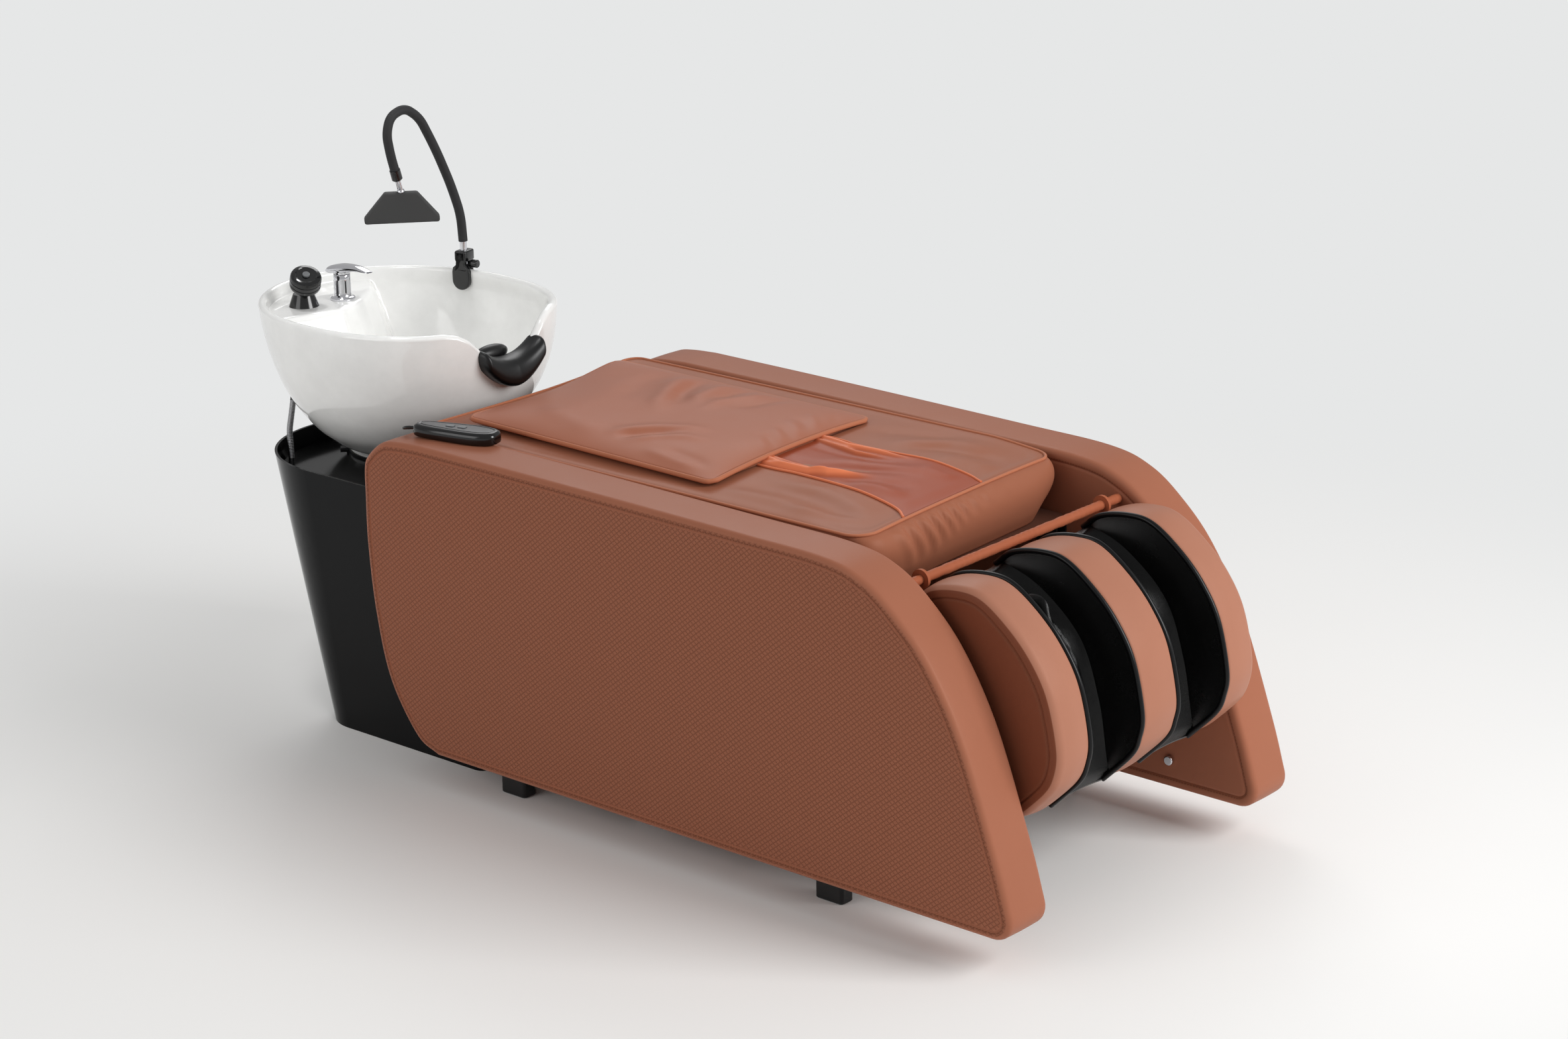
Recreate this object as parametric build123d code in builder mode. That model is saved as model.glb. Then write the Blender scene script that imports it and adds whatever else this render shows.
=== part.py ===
"""Hair washing bed: upholstered massage bed with a ceramic basin on a pedestal.

Millimetres, +Z up, standing on z = 0. +X points to the foot end, -Y is the client's right side.
"""
import os
from math import atan2, cos, degrees, hypot, pi, radians, sin, tan

from build123d import *

# Bed and side panels
bed_width = 800
panel_length = 1442
panel_height = 577
panel_thickness = 103
panel_toe_x = 1015
floor_gap = 65
outer_cover_thickness = 14
cover_edge_radius = 9
panel_edge_radius = 7
front_edge_shares = [(1.0, 0.064), (0.979, 0.24), (0.933, 0.546), (0.887, 0.744), (0.841, 0.865),
                     (0.795, 0.943), (0.735, 0.979)]
rear_top_shares = [(0.098, 1.0), (0.032, 0.979), (0.009, 0.932), (0.0, 0.891)]
rear_low_shares = [(0.0, 0.64), (0.009, 0.419), (0.03, 0.208), (0.0735, 0.045), (0.11, 0.0)]
toe_start_share = (0.976, 0.0)

# General clearances
seat_gap = 0.3
running_gap = 0.05
cut_over = 40

# Feet and frame
foot_length = 60
foot_width = 32
foot_inset = 5
foot_corner_radius = 8
rear_foot_x = -145
front_foot_x = 590
rail_width = 30
rail_height = 50
rail_wall = 3
frame_rear_x = -252
frame_front_x = 612
post_size = 25
board_thickness = 18
board_rear_x = -412
board_side_gap = 5

# Seat cushion, centre panel and back pad
seat_thickness = 119
seat_crown = 14
seat_crown_setback = 34
seat_side_gap = 7
seat_rear_x = -412
seat_front_x = 638
seat_piping_setback = 28
nose_sink = 14
nose_drop = 66
seat_corner_radius = 44
seat_rear_radius = 34
seat_rear_lift = 2
channel_half = 100
channel_rear_x = -345
channel_front_x = 430
centre_panel_half = 110
centre_panel_thickness = 8
centre_panel_end_gap = 15
back_pad_length = 618
back_pad_side_setback = 35.5
back_pad_thickness = 15
back_pad_x = -59
back_pad_corner = 12
back_pad_edge = 5

# Leg unit
leg_side_gap = 17
outer_rib_width = 83
centre_rib_width = 96
hinge_x = 720
hinge_z = 572
bar_radius = 8.5
leg_rear_x = 722
leg_length = 298
leg_height = 383
leg_top_rise = 16
rib_edge_radius = 9
rib_corner_radius = 12
outer_profile_shares = [(0.0, 0.896), (0.312, 1.0), (0.671, 0.885), (0.933, 0.614), (1.0, 0.392),
                        (0.933, 0.191), (0.748, 0.044)]
trough_profile_shares = [(0.0, 0.872), (0.262, 0.785), (0.513, 0.614), (0.631, 0.379),
                         (0.685, 0.17), (0.723, 0.0425)]
liner_thickness = 6
liner_wall = 4
liner_inset = 2
leg_plate_thickness = 6
hinge_eye_radius = 17
lift_angle = 45

# Leg lift actuator
actuator_tail_x = 478
actuator_tail_z = 460
actuator_eye_x = 698
actuator_eye_z = 314.7
actuator_radius = 17
actuator_body_length = 214
rod_radius = 8
rod_pocket = 24
rod_eye_radius = 15
rod_eye_bore = 10
rod_pin_radius = 5
tail_pin_radius = 6
tail_eye_radius = 13
actuator_eye_width = 20
clevis_plate = 6
clevis_gap = 0.6
gearbox_length = 70
gearbox_drop = 46

# Massage carriage
carriage_x = -200
carriage_length = 80
carriage_height = 23
carriage_half = 70
massage_rail_width = 15
massage_rail_height = 10
massage_rail_y = 82
screw_radius = 7
screw_rise = 22
roller_radius = 33
roller_width = 30
roller_y = 46
roller_axle_radius = 6
roller_rise = 74
yoke_thickness = 7
motor_length = 52
motor_width = 64
motor_height = 52
end_plate_thickness = 10

# Pedestal
pedestal_height = 495
pedestal_wall = 5
pedestal_front_x = -264
pedestal_top_rear_x = -912
pedestal_base_rear_x = -709
pedestal_side_draft = 6.7
pedestal_top_radius = 213
pedestal_base_radius = 85
pedestal_front_radius = 20
pedestal_rim_radius = 2
deck_drop = 33
deck_thickness = 6
stand_plate_thickness = 8
stand_half = 110
stand_rear_x = -850
stand_front_x = -500
stand_post = 40
stand_post_x = -560
stand_post_y = 85

# Basin
basin_length = 580
basin_width = 514
basin_x = -730
drain_setback = 102
basin_rim_z = 758
basin_wall = 13
basin_floor = 20
basin_foot_radius = 106
basin_foot_recess = 88
basin_foot_height = 14
basin_body_rise = 7
section_height_shares = [0.0, 0.095, 0.235, 0.41, 0.62, 0.83, 1.0]
section_rear_shares = [0.403, 0.531, 0.638, 0.762, 0.876, 0.962, 1.0]
section_front_shares = [0.338, 0.566, 0.755, 0.89, 0.972, 1.0, 1.0]
section_side_shares = [0.42, 0.611, 0.763, 0.891, 0.969, 1.0, 1.0]
front_squareness_share = 0.25
section_points = 20
shelf_drop = 23
shelf_depth = 178
shelf_side_setback = 52
shelf_taper = 16
dip_depth = 73
dip_half = 142
dip_bottom_half = 38
dip_bulge_share = 0.62
drain_radius = 23
drain_flange_radius = 31
gasket_thickness = 4
bracket_width = 16
bracket_thickness = 4
bracket_height = 10

# Neck rest
neck_rest_half = 88
neck_rest_rise = 22
neck_rest_drop = 46
neck_rest_front = 22
neck_rest_rear = 36
neck_rest_saddle = 18

# Mixer, hand shower and hose
mixer_setback = 135
mixer_y = -10
mixer_flange_radius = 24.5
mixer_flange_height = 6
mixer_body_radius = 16.5
mixer_body_height = 44
mixer_cap_height = 12
lever_reach = 74
lever_width = 20
lever_thickness = 7
holder_setback = 115
holder_y = -92
holder_radius = 29
holder_height = 24
holder_bore_radius = 6
guide_length = 183
guide_lean_shares = (22, -58, -160)
guide_hole_radius = 8
shower_lean = (0.45, -0.25, 0.857)
shower_stem_radius = 9
shower_head_radius = 30
shower_head_length = 42
shower_head_setback = 21
shower_button_radius = 7
shower_button_travel = 1.5
hose_radius = 6.2
hose_root_radius = 5.2
hose_bore_radius = 4
hose_rib_pitch = 2.8
hose_lead = 30

# Spray arm
clamp_setback = 214
clamp_width = 40
clamp_jaw_drop = 42
clamp_rise = 38
clamp_inner = 11
clamp_outer = 8
clamp_grip_gap = 1.4
stem_radius = 7
stem_setback = 4
stem_socket = 28
sleeve_radius = 9
arm_reach = 190
arm_rise = 286
arm_route_shares = [(0.0, 0.0), (0.021, 0.189), (0.141, 0.4056), (0.3358, 0.6783), (0.541, 0.9126),
                    (0.741, 1.0), (0.941, 0.958), (0.9989, 0.8462), (0.9568, 0.7028), (0.9095, 0.5979)]
knob_radius = 8
knob_length = 12
knob_shaft_radius = 3
screw_shaft_radius = 4
screw_grip_radius = 11
screw_grip_length = 16
tip_radius = 10.5
tip_length = 22
neck_tube_radius = 2.8
neck_tube_spread = 4
neck_tube_length = 20
neck_ball_radius = 7.8
spray_bottom_width = 144
spray_top_width = 62
spray_height = 60
spray_thickness = 20
spray_turn = 49
nozzle_plate_thickness = 2
nozzle_radius = 1.2
nozzle_count = 15

# Handset and its cable
handset_length = 168
handset_width = 62
handset_height = 22
handset_x = -262
handset_side_setback = 78
handset_turn = 15
handset_corner = 18
handset_edge = 5
key_length = 16
key_width = 11
key_height = 3
key_travel = 1.2
key_spacing = 24
cable_radius = 2.3
grommet_depth = 15

# Small fittings
trap_radius = 35
trap_height = 100
trap_drop = 56
waste_radius = 20
waste_wall = 2.5
waste_outlet_x = -640
waste_outlet_z = 20
inlet_radius = 10.5
inlet_length = 25
inlet_spacing = 80
inlet_height = 150
inlet_plate = 6
bolt_x = 839
bolt_z = 118
bolt_head_radius = 9
bolt_head_height = 7
control_length = 150
control_width = 120
control_height = 50
control_x = 40
control_y = 90

# Heights and places worked out from the sizes above
panel_rear_x = panel_toe_x - panel_length
panel_inner_y = bed_width / 2 - panel_thickness
panel_top_z = floor_gap + panel_height
board_top_z = panel_top_z - seat_thickness
board_bottom_z = board_top_z - board_thickness
board_half = panel_inner_y - board_side_gap
rail_low_z = floor_gap + rail_width / 2
crown_z = board_top_z + seat_thickness
seat_half = panel_inner_y - seat_side_gap
seat_crown_half = seat_half - seat_crown_setback
back_pad_width = 2 * (seat_crown_half - back_pad_side_setback)
leg_half_width = panel_inner_y - leg_side_gap
deck_height = pedestal_height - deck_drop
basin_foot_z = deck_height + gasket_thickness
basin_body_z = basin_foot_z + basin_body_rise
leg_low_z = hinge_z + leg_top_rise - leg_height
basin_depth = basin_rim_z - basin_body_z
shelf_z = basin_rim_z - shelf_drop
basin_rear_x = basin_x - basin_length / 2
shelf_front_x = basin_rear_x + shelf_depth
basin_foot_x = shelf_front_x + drain_setback
mixer_x = basin_rear_x + mixer_setback
holder_x = basin_rear_x + holder_setback
clamp_x = basin_rear_x + clamp_setback
stand_top_z = deck_height - deck_thickness
trap_top_z = stand_top_z - trap_drop
handset_z = panel_top_z + 3 * seat_gap
handset_y = handset_side_setback - bed_width / 2
pedestal_top_half = panel_inner_y - seat_gap
pedestal_base_half = pedestal_top_half - pedestal_side_draft


def panel_point(share):
    """Place an outline share of the side panel in the XZ plane."""
    return (panel_rear_x + panel_length * share[0], floor_gap + panel_height * share[1])


def leg_point(share, growth=0):
    """Place an outline share of the leg unit in the XZ plane, moved out by a growth."""
    return (leg_rear_x + leg_length * share[0] + growth * 0.8,
            leg_low_z + leg_height * share[1] + growth * 0.6)


def crown_height(y, drop=0):
    """Height of the cushion's crowned top at a distance from the middle."""
    return crown_z - drop - seat_crown * (y / seat_crown_half) ** 2


def crown_arc(half, drop):
    """Arc across the bed that follows the cushion's crown, a drop below it."""
    ends = crown_height(half, drop)
    return ThreePointArc((-half, ends), (0, crown_height(0, drop)), (half, ends))


def table_value(heights, values, share):
    """Read a table of shares between its rows."""
    for low, high, first, last in zip(heights, heights[1:], values, values[1:]):
        if share <= high:
            return first + (last - first) * (share - low) / (high - low)
    return values[-1]


def basin_outline(share, growth):
    """Points of the basin's egg-shaped section at a share of its height."""
    rear = basin_length / 2 * table_value(section_height_shares, section_rear_shares, share) + growth
    front = basin_length / 2 * table_value(section_height_shares, section_front_shares, share) + growth
    side = basin_width / 2 * table_value(section_height_shares, section_side_shares, share) + growth
    points = []
    for step in range(section_points):
        angle = 2 * pi * step / section_points
        reach, power = (front, 1 / (1 + front_squareness_share * share)) if cos(angle) > 0 else (rear, 1)
        along = abs(cos(angle)) ** power * (1 if cos(angle) > 0 else -1)
        across = abs(sin(angle)) ** power * (1 if sin(angle) > 0 else -1)
        points.append((basin_x + reach * along, side * across))
    return points


def basin_body(growth, floor_rise=0, over_top=0):
    """Loft the basin's sections; a rising floor makes the inside of the bowl."""
    with BuildPart() as body:
        for share in section_height_shares:
            height = basin_body_z + basin_depth * share + floor_rise * (1 - share)
            with BuildSketch(Plane.XY.offset(height)):
                with BuildLine():
                    Spline(*basin_outline(share, growth), periodic=True)
                make_face()
        loft()
        if over_top:
            with BuildSketch(Plane.XY.offset(basin_rim_z)):
                with BuildLine():
                    Spline(*basin_outline(1, growth), periodic=True)
                make_face()
            extrude(amount=over_top)
    return body.part


def dip_cut(drop, reach):
    """Solid that cuts the neck dip out of the basin's front rim."""
    top = basin_rim_z - drop
    low = top - dip_depth
    with BuildPart() as cut:
        with BuildSketch(Plane.YZ.offset(basin_x + basin_length * 0.2)):
            with BuildLine():
                side = (dip_half * dip_bulge_share, top - dip_depth * dip_bulge_share / 2)
                rise = Spline((dip_half, top), side, (dip_bottom_half, low), (0, low),
                              tangents=[(-1, 0), (-1, 0)])
                mirror(rise, about=Plane.YZ)
                Polyline((dip_half, top), (dip_half, top + cut_over * 2),
                         (-dip_half, top + cut_over * 2), (-dip_half, top))
            make_face()
        extrude(amount=reach)
    return cut.part


def cord_path(points):
    """Straight runs joined by the largest tangent arcs that the runs allow."""
    radii = []
    for before, corner, after in zip(points, points[1:], points[2:]):
        first, second = Vector(*corner) - Vector(*before), Vector(*after) - Vector(*corner)
        half_turn = radians(first.get_angle(second)) / 2
        radii.append(0.45 * min(first.length, second.length) / tan(half_turn))
    print("arc radii", [round(radius) for radius in radii])
    return FilletPolyline(*points, radius=radii)


# Side panels, right then left, each with an embossed outer cover
with BuildPart() as right_panel:
    with BuildSketch(Plane.XZ.offset(panel_inner_y)) as panel_outline:
        with BuildLine():
            Spline(*[panel_point(share) for share in front_edge_shares], tangents=[(0, 1), (-1, 0)])
            Spline(panel_point(front_edge_shares[-1]), panel_point(rear_top_shares[0]),
                   tangents=[(-1, 0), (-1, 0)])
            Spline(*[panel_point(share) for share in rear_top_shares], tangents=[(-1, 0), (0, -1)])
            Line(panel_point(rear_top_shares[-1]), panel_point(rear_low_shares[0]))
            Spline(*[panel_point(share) for share in rear_low_shares], tangents=[(0, -1), (1, 0)])
            Line(panel_point(rear_low_shares[-1]), panel_point(toe_start_share))
            Spline(panel_point(toe_start_share), panel_point(front_edge_shares[0]),
                   tangents=[(1, 0), (0, 1)])
        make_face()
    extrude(amount=panel_thickness - outer_cover_thickness)
    fillet(right_panel.faces().sort_by(Axis.Y)[-1].edges(), panel_edge_radius)

with BuildPart() as right_outer_cover:
    with BuildSketch(Plane.XZ.offset(bed_width / 2 - outer_cover_thickness)):
        add(panel_outline.sketch_local)
    extrude(amount=outer_cover_thickness)
    fillet(right_outer_cover.faces().sort_by(Axis.Y)[0].edges(), cover_edge_radius)

with BuildPart() as left_panel:
    mirror(right_panel.part, about=Plane.XZ)

with BuildPart() as left_outer_cover:
    mirror(right_outer_cover.part, about=Plane.XZ)

# Feet under the panels
with BuildPart() as feet:
    foot_y = panel_inner_y + foot_inset + foot_width / 2
    with BuildSketch():
        with Locations((rear_foot_x, foot_y), (front_foot_x, foot_y),
                       (rear_foot_x, -foot_y), (front_foot_x, -foot_y)):
            RectangleRounded(foot_length, foot_width, foot_corner_radius)
    extrude(amount=floor_gap)
    chamfer(feet.faces().sort_by(Axis.Z)[:4].edges(), foot_inset / 2)

# Steel frame: lower and upper rails, posts and cross tubes
rail_y = panel_inner_y - rail_width / 2
rail_length = frame_front_x - frame_rear_x
rail_x = (frame_front_x + frame_rear_x) / 2
upper_rail_height = rail_width
with BuildPart() as side_rails:
    for low, height in ((rail_low_z, rail_height), (board_bottom_z - upper_rail_height, upper_rail_height)):
        with BuildSketch(Plane.YZ.offset(frame_rear_x)):
            with Locations((rail_y, low + height / 2), (-rail_y, low + height / 2)):
                Rectangle(rail_width, height)
                Rectangle(rail_width - 2 * rail_wall, height - 2 * rail_wall, mode=Mode.SUBTRACT)
    extrude(amount=rail_length)

post_low_z = rail_low_z + rail_height
post_height = board_bottom_z - upper_rail_height - post_low_z
post_places = [frame_rear_x + post_size, rail_x, frame_front_x - post_size]

with BuildPart() as frame_members:
    cross_half = rail_y - rail_width / 2
    with BuildSketch(Plane.XY.offset(post_low_z)):
        with Locations(*[(x, side * rail_y) for x in post_places for side in (-1, 1)]):
            Rectangle(post_size, post_size)
            Rectangle(post_size - 2 * rail_wall, post_size - 2 * rail_wall, mode=Mode.SUBTRACT)
    extrude(amount=post_height)
    for x in post_places:
        with BuildSketch(Plane.XZ.offset(-cross_half)):
            with Locations((x, rail_low_z + rail_height / 2)):
                Rectangle(post_size, rail_height)
                Rectangle(post_size - 2 * rail_wall, rail_height - 2 * rail_wall, mode=Mode.SUBTRACT)
    extrude(amount=2 * cross_half)

with BuildPart() as seat_board:
    board_length = frame_front_x - board_rear_x
    with BuildSketch(Plane.XY.offset(board_bottom_z)):
        with Locations((board_rear_x + board_length / 2, 0)):
            RectangleRounded(board_length, 2 * board_half, back_pad_corner)
    extrude(amount=board_thickness)

# Seat cushion: crowned top, sides drawn in, rounded nose and a channel for the massage carriage
seat_low_half = seat_half - 2 * seat_side_gap
seat_middle_z = board_top_z + seat_thickness / 2
piping_x = seat_front_x - seat_piping_setback
with BuildPart() as seat_cushion:
    with BuildSketch(Plane.YZ.offset(seat_rear_x)):
        with BuildLine():
            crown_arc(seat_crown_half, 0)
            ThreePointArc((seat_crown_half, crown_height(seat_crown_half)), (seat_half, seat_middle_z),
                          (seat_low_half, board_top_z))
            Line((seat_low_half, board_top_z), (-seat_low_half, board_top_z))
            ThreePointArc((-seat_low_half, board_top_z), (-seat_half, seat_middle_z),
                          (-seat_crown_half, crown_height(seat_crown_half)))
        make_face()
    extrude(amount=seat_front_x - seat_rear_x)
    with BuildSketch(Plane.XZ):
        with BuildLine():
            nose_top = (piping_x, crown_z - nose_sink)
            nose_low = (frame_front_x - nose_sink, board_top_z)
            ThreePointArc(nose_top, (seat_front_x, crown_z - nose_drop), nose_low)
            Line(nose_low, (seat_rear_x, board_top_z))
            Line((seat_rear_x, board_top_z), (seat_rear_x, crown_z - seat_rear_radius))
            rear_top = (seat_rear_x + seat_rear_radius, crown_z + seat_rear_lift)
            ThreePointArc((seat_rear_x, crown_z - seat_rear_radius),
                          (seat_rear_x + seat_rear_radius * 0.3, crown_z - seat_rear_radius * 0.3),
                          rear_top)
            Polyline(rear_top, (seat_rear_x + seat_rear_radius, crown_z + cut_over),
                     (piping_x, crown_z + cut_over), nose_top)
        make_face()
    extrude(amount=bed_width / 2, both=True, mode=Mode.INTERSECT)
    with BuildSketch(Plane.XY.offset(board_top_z - cut_over)):
        with Locations(((seat_front_x + seat_rear_x) / 2, 0)):
            RectangleRounded(seat_front_x - seat_rear_x, 2 * seat_half, seat_corner_radius)
    extrude(amount=seat_thickness + 2 * cut_over, mode=Mode.INTERSECT)
    with BuildSketch(Plane.XY.offset(board_top_z)):
        with Locations(((channel_front_x + channel_rear_x) / 2, 0)):
            Rectangle(channel_front_x - channel_rear_x, 2 * channel_half)
    extrude(amount=seat_thickness + cut_over, mode=Mode.SUBTRACT)
    with BuildSketch(Plane.YZ.offset(channel_rear_x - seat_gap)):
        with BuildLine():
            recess_half = centre_panel_half + seat_gap
            recess_drop = centre_panel_thickness + seat_gap
            crown_arc(recess_half, recess_drop)
            Polyline((recess_half, crown_height(recess_half, recess_drop)), (recess_half, crown_z + cut_over),
                     (-recess_half, crown_z + cut_over), (-recess_half, crown_height(recess_half, recess_drop)))
        make_face()
    extrude(amount=piping_x - centre_panel_end_gap - channel_rear_x + 2 * seat_gap, mode=Mode.SUBTRACT)

with BuildPart() as centre_panel:
    with BuildSketch(Plane.YZ.offset(channel_rear_x)):
        with BuildLine():
            crown_arc(centre_panel_half, 0)
            crown_arc(centre_panel_half, centre_panel_thickness)
            for side in (-1, 1):
                Line((side * centre_panel_half, crown_height(centre_panel_half)),
                     (side * centre_panel_half, crown_height(centre_panel_half, centre_panel_thickness)))
        make_face()
    extrude(amount=piping_x - centre_panel_end_gap - channel_rear_x)

with BuildPart() as back_pad:
    with BuildSketch(Plane.YZ.offset(back_pad_x - back_pad_length)):
        with BuildLine():
            crown_arc(seat_crown_half, -seat_gap)
            crown_arc(seat_crown_half, -seat_gap - back_pad_thickness)
            for side in (-1, 1):
                Line((side * seat_crown_half, crown_height(seat_crown_half, -seat_gap)),
                     (side * seat_crown_half, crown_height(seat_crown_half, -seat_gap - back_pad_thickness)))
        make_face()
    extrude(amount=2 * back_pad_length)
    with BuildSketch(Plane.XY.offset(crown_z - cut_over)):
        with Locations((back_pad_x, 0)):
            RectangleRounded(back_pad_length, back_pad_width, back_pad_corner)
    extrude(amount=2 * cut_over + seat_thickness, mode=Mode.INTERSECT)
    fillet(back_pad.faces().sort_by(Axis.Z)[-1].edges(), back_pad_edge)

# Hinge bar of the leg unit, wrapped in leather
with BuildPart() as front_bar:
    with BuildSketch(Plane.XZ.offset(-panel_inner_y)):
        with Locations((hinge_x, hinge_z)):
            Circle(bar_radius)
    extrude(amount=2 * panel_inner_y)

with BuildPart() as panel_bolts:
    with BuildSketch(Plane.XZ.offset(panel_inner_y - bolt_head_height)):
        with Locations((bolt_x, bolt_z)):
            Circle(bolt_head_radius)
    extrude(amount=bolt_head_height)
    fillet(panel_bolts.faces().sort_by(Axis.Y)[-1].edges(), bolt_head_height / 3)
    mirror(about=Plane.XZ)


# Leg unit: ribs, core, liners and hinge frame
def leg_profile(growth, inset):
    """Outline between the leg unit's outer curve and its calf trough."""
    outer = [leg_point(share, -inset) for share in outer_profile_shares]
    trough = [leg_point(share, growth) for share in trough_profile_shares]
    Spline(*outer)
    Line(outer[-1], trough[-1])
    Spline(*trough)
    Line(trough[0], outer[0])


rib_inner_y = leg_half_width - outer_rib_width
centre_half = centre_rib_width / 2

with BuildPart() as right_rib:
    with BuildSketch(Plane.XZ.offset(rib_inner_y)) as rib_outline:
        with BuildLine():
            Spline(*[leg_point(share) for share in outer_profile_shares])
            Polyline(leg_point(outer_profile_shares[-1]), (leg_rear_x, leg_low_z),
                     leg_point(outer_profile_shares[0]))
        make_face()
        fillet(rib_outline.vertices(), rib_corner_radius)
    extrude(amount=outer_rib_width)
    fillet(right_rib.faces().sort_by(Axis.Y)[0].edges(), rib_edge_radius)
    fillet(right_rib.faces().sort_by(Axis.Y)[-1].edges(), rib_edge_radius / 3)

with BuildPart() as left_rib:
    mirror(right_rib.part, about=Plane.XZ)

with BuildPart() as centre_rib:
    with BuildSketch(Plane.XZ.offset(-centre_half)):
        with BuildLine():
            leg_profile(2 * seat_gap, 0)
        make_face()
    extrude(amount=centre_rib_width)

with BuildPart() as leg_core:
    core_half = rib_inner_y - seat_gap
    with BuildSketch(Plane.XZ.offset(-core_half)):
        with BuildLine():
            Spline(*[leg_point(share) for share in trough_profile_shares])
            Polyline(leg_point(trough_profile_shares[-1]), (leg_rear_x, leg_low_z),
                     leg_point(trough_profile_shares[0]))
        make_face()
    extrude(amount=2 * core_half)

with BuildPart() as right_well_liner:
    liner_width = core_half - centre_half - seat_gap
    liner_start = centre_half + seat_gap
    with BuildSketch(Plane.XZ.offset(liner_start)):
        with BuildLine():
            leg_profile(2 * seat_gap, liner_inset)
        make_face()
    extrude(amount=liner_width)
    with BuildSketch(Plane.XZ.offset(liner_start + liner_wall)):
        with BuildLine():
            floor_line = [leg_point(share, 2 * seat_gap + liner_thickness) for share in trough_profile_shares]
            Spline(*floor_line)
            Polyline(floor_line[-1], (floor_line[-1][0] + cut_over, leg_low_z - cut_over),
                     (leg_rear_x + leg_length + cut_over, leg_low_z - cut_over),
                     (leg_rear_x + leg_length + cut_over, leg_low_z + leg_height + cut_over),
                     (floor_line[0][0], leg_low_z + leg_height + cut_over), floor_line[0])
        make_face()
    extrude(amount=liner_width - 2 * liner_wall, mode=Mode.SUBTRACT)

with BuildPart() as left_well_liner:
    mirror(right_well_liner.part, about=Plane.XZ)

plate_rear_x = leg_rear_x - leg_plate_thickness
hinge_arm_y = leg_half_width - outer_rib_width / 3
clevis_inner = actuator_eye_width / 2 + clevis_gap
with BuildPart() as leg_frame:
    plate_low_z = leg_low_z + rib_edge_radius
    plate_high_z = leg_low_z + leg_height * outer_profile_shares[0][1] - rib_edge_radius
    with BuildSketch(Plane.YZ.offset(plate_rear_x)):
        with Locations((0, (plate_low_z + plate_high_z) / 2)):
            Rectangle(2 * leg_half_width - 2 * rib_edge_radius, plate_high_z - plate_low_z)
    extrude(amount=leg_plate_thickness)
    with BuildSketch(Plane.XZ.offset(-hinge_arm_y)):
        with Locations((hinge_x, hinge_z)):
            Circle(hinge_eye_radius)
        with BuildLine():
            Polyline((hinge_x - hinge_eye_radius, hinge_z), (plate_rear_x, plate_high_z - hinge_eye_radius),
                     (leg_rear_x, plate_high_z - hinge_eye_radius), (leg_rear_x, hinge_z), close=True)
        make_face()
    extrude(amount=leg_plate_thickness)
    mirror(leg_frame.solids().sort_by(Axis.Y)[-1], about=Plane.XZ)
    with BuildSketch(Plane.XZ.offset(clevis_inner)):
        with Locations((actuator_eye_x, actuator_eye_z)):
            Circle(rod_eye_radius)
        with Locations(((actuator_eye_x + leg_rear_x) / 2, actuator_eye_z)):
            Rectangle(leg_rear_x - actuator_eye_x, 2 * rod_eye_radius)
    extrude(amount=clevis_plate)
    with BuildSketch(Plane.XZ.offset(-clevis_inner - clevis_plate)):
        with Locations((actuator_eye_x, actuator_eye_z)):
            Circle(rod_eye_radius)
        with Locations(((actuator_eye_x + leg_rear_x) / 2, actuator_eye_z)):
            Rectangle(leg_rear_x - actuator_eye_x, 2 * rod_eye_radius)
    extrude(amount=clevis_plate)
    with BuildSketch(Plane.XZ.offset(-clevis_inner)):
        with Locations((actuator_eye_x, actuator_eye_z)):
            Circle(rod_pin_radius)
    extrude(amount=2 * clevis_inner)
    with BuildSketch(Plane.XZ.offset(-panel_inner_y)):
        with Locations((hinge_x, hinge_z)):
            Circle(bar_radius + running_gap)
    extrude(amount=2 * panel_inner_y, mode=Mode.SUBTRACT)

# Leg lift actuator on its bracket under the seat board
actuator_run = hypot(actuator_eye_x - actuator_tail_x, actuator_eye_z - actuator_tail_z)
actuator_axis = Plane(origin=(actuator_tail_x, 0, actuator_tail_z), x_dir=(0, 1, 0),
                      z_dir=(actuator_eye_x - actuator_tail_x, 0, actuator_eye_z - actuator_tail_z))

with BuildPart() as actuator_bracket:
    for start in (clevis_inner, -clevis_inner - clevis_plate):
        with BuildSketch(Plane.XZ.offset(start)):
            with Locations((actuator_tail_x, actuator_tail_z)):
                Circle(tail_eye_radius)
            with Locations((actuator_tail_x, (actuator_tail_z + board_bottom_z) / 2)):
                Rectangle(2 * tail_eye_radius, board_bottom_z - actuator_tail_z)
        extrude(amount=clevis_plate)
    with BuildSketch(Plane.XZ.offset(-clevis_inner)):
        with Locations((actuator_tail_x, actuator_tail_z)):
            Circle(tail_pin_radius)
    extrude(amount=2 * clevis_inner)
    with Locations((actuator_tail_x, 0, board_bottom_z - clevis_plate / 2)):
        Box(2 * tail_eye_radius, 2 * clevis_inner + 4 * clevis_plate, clevis_plate)

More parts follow.
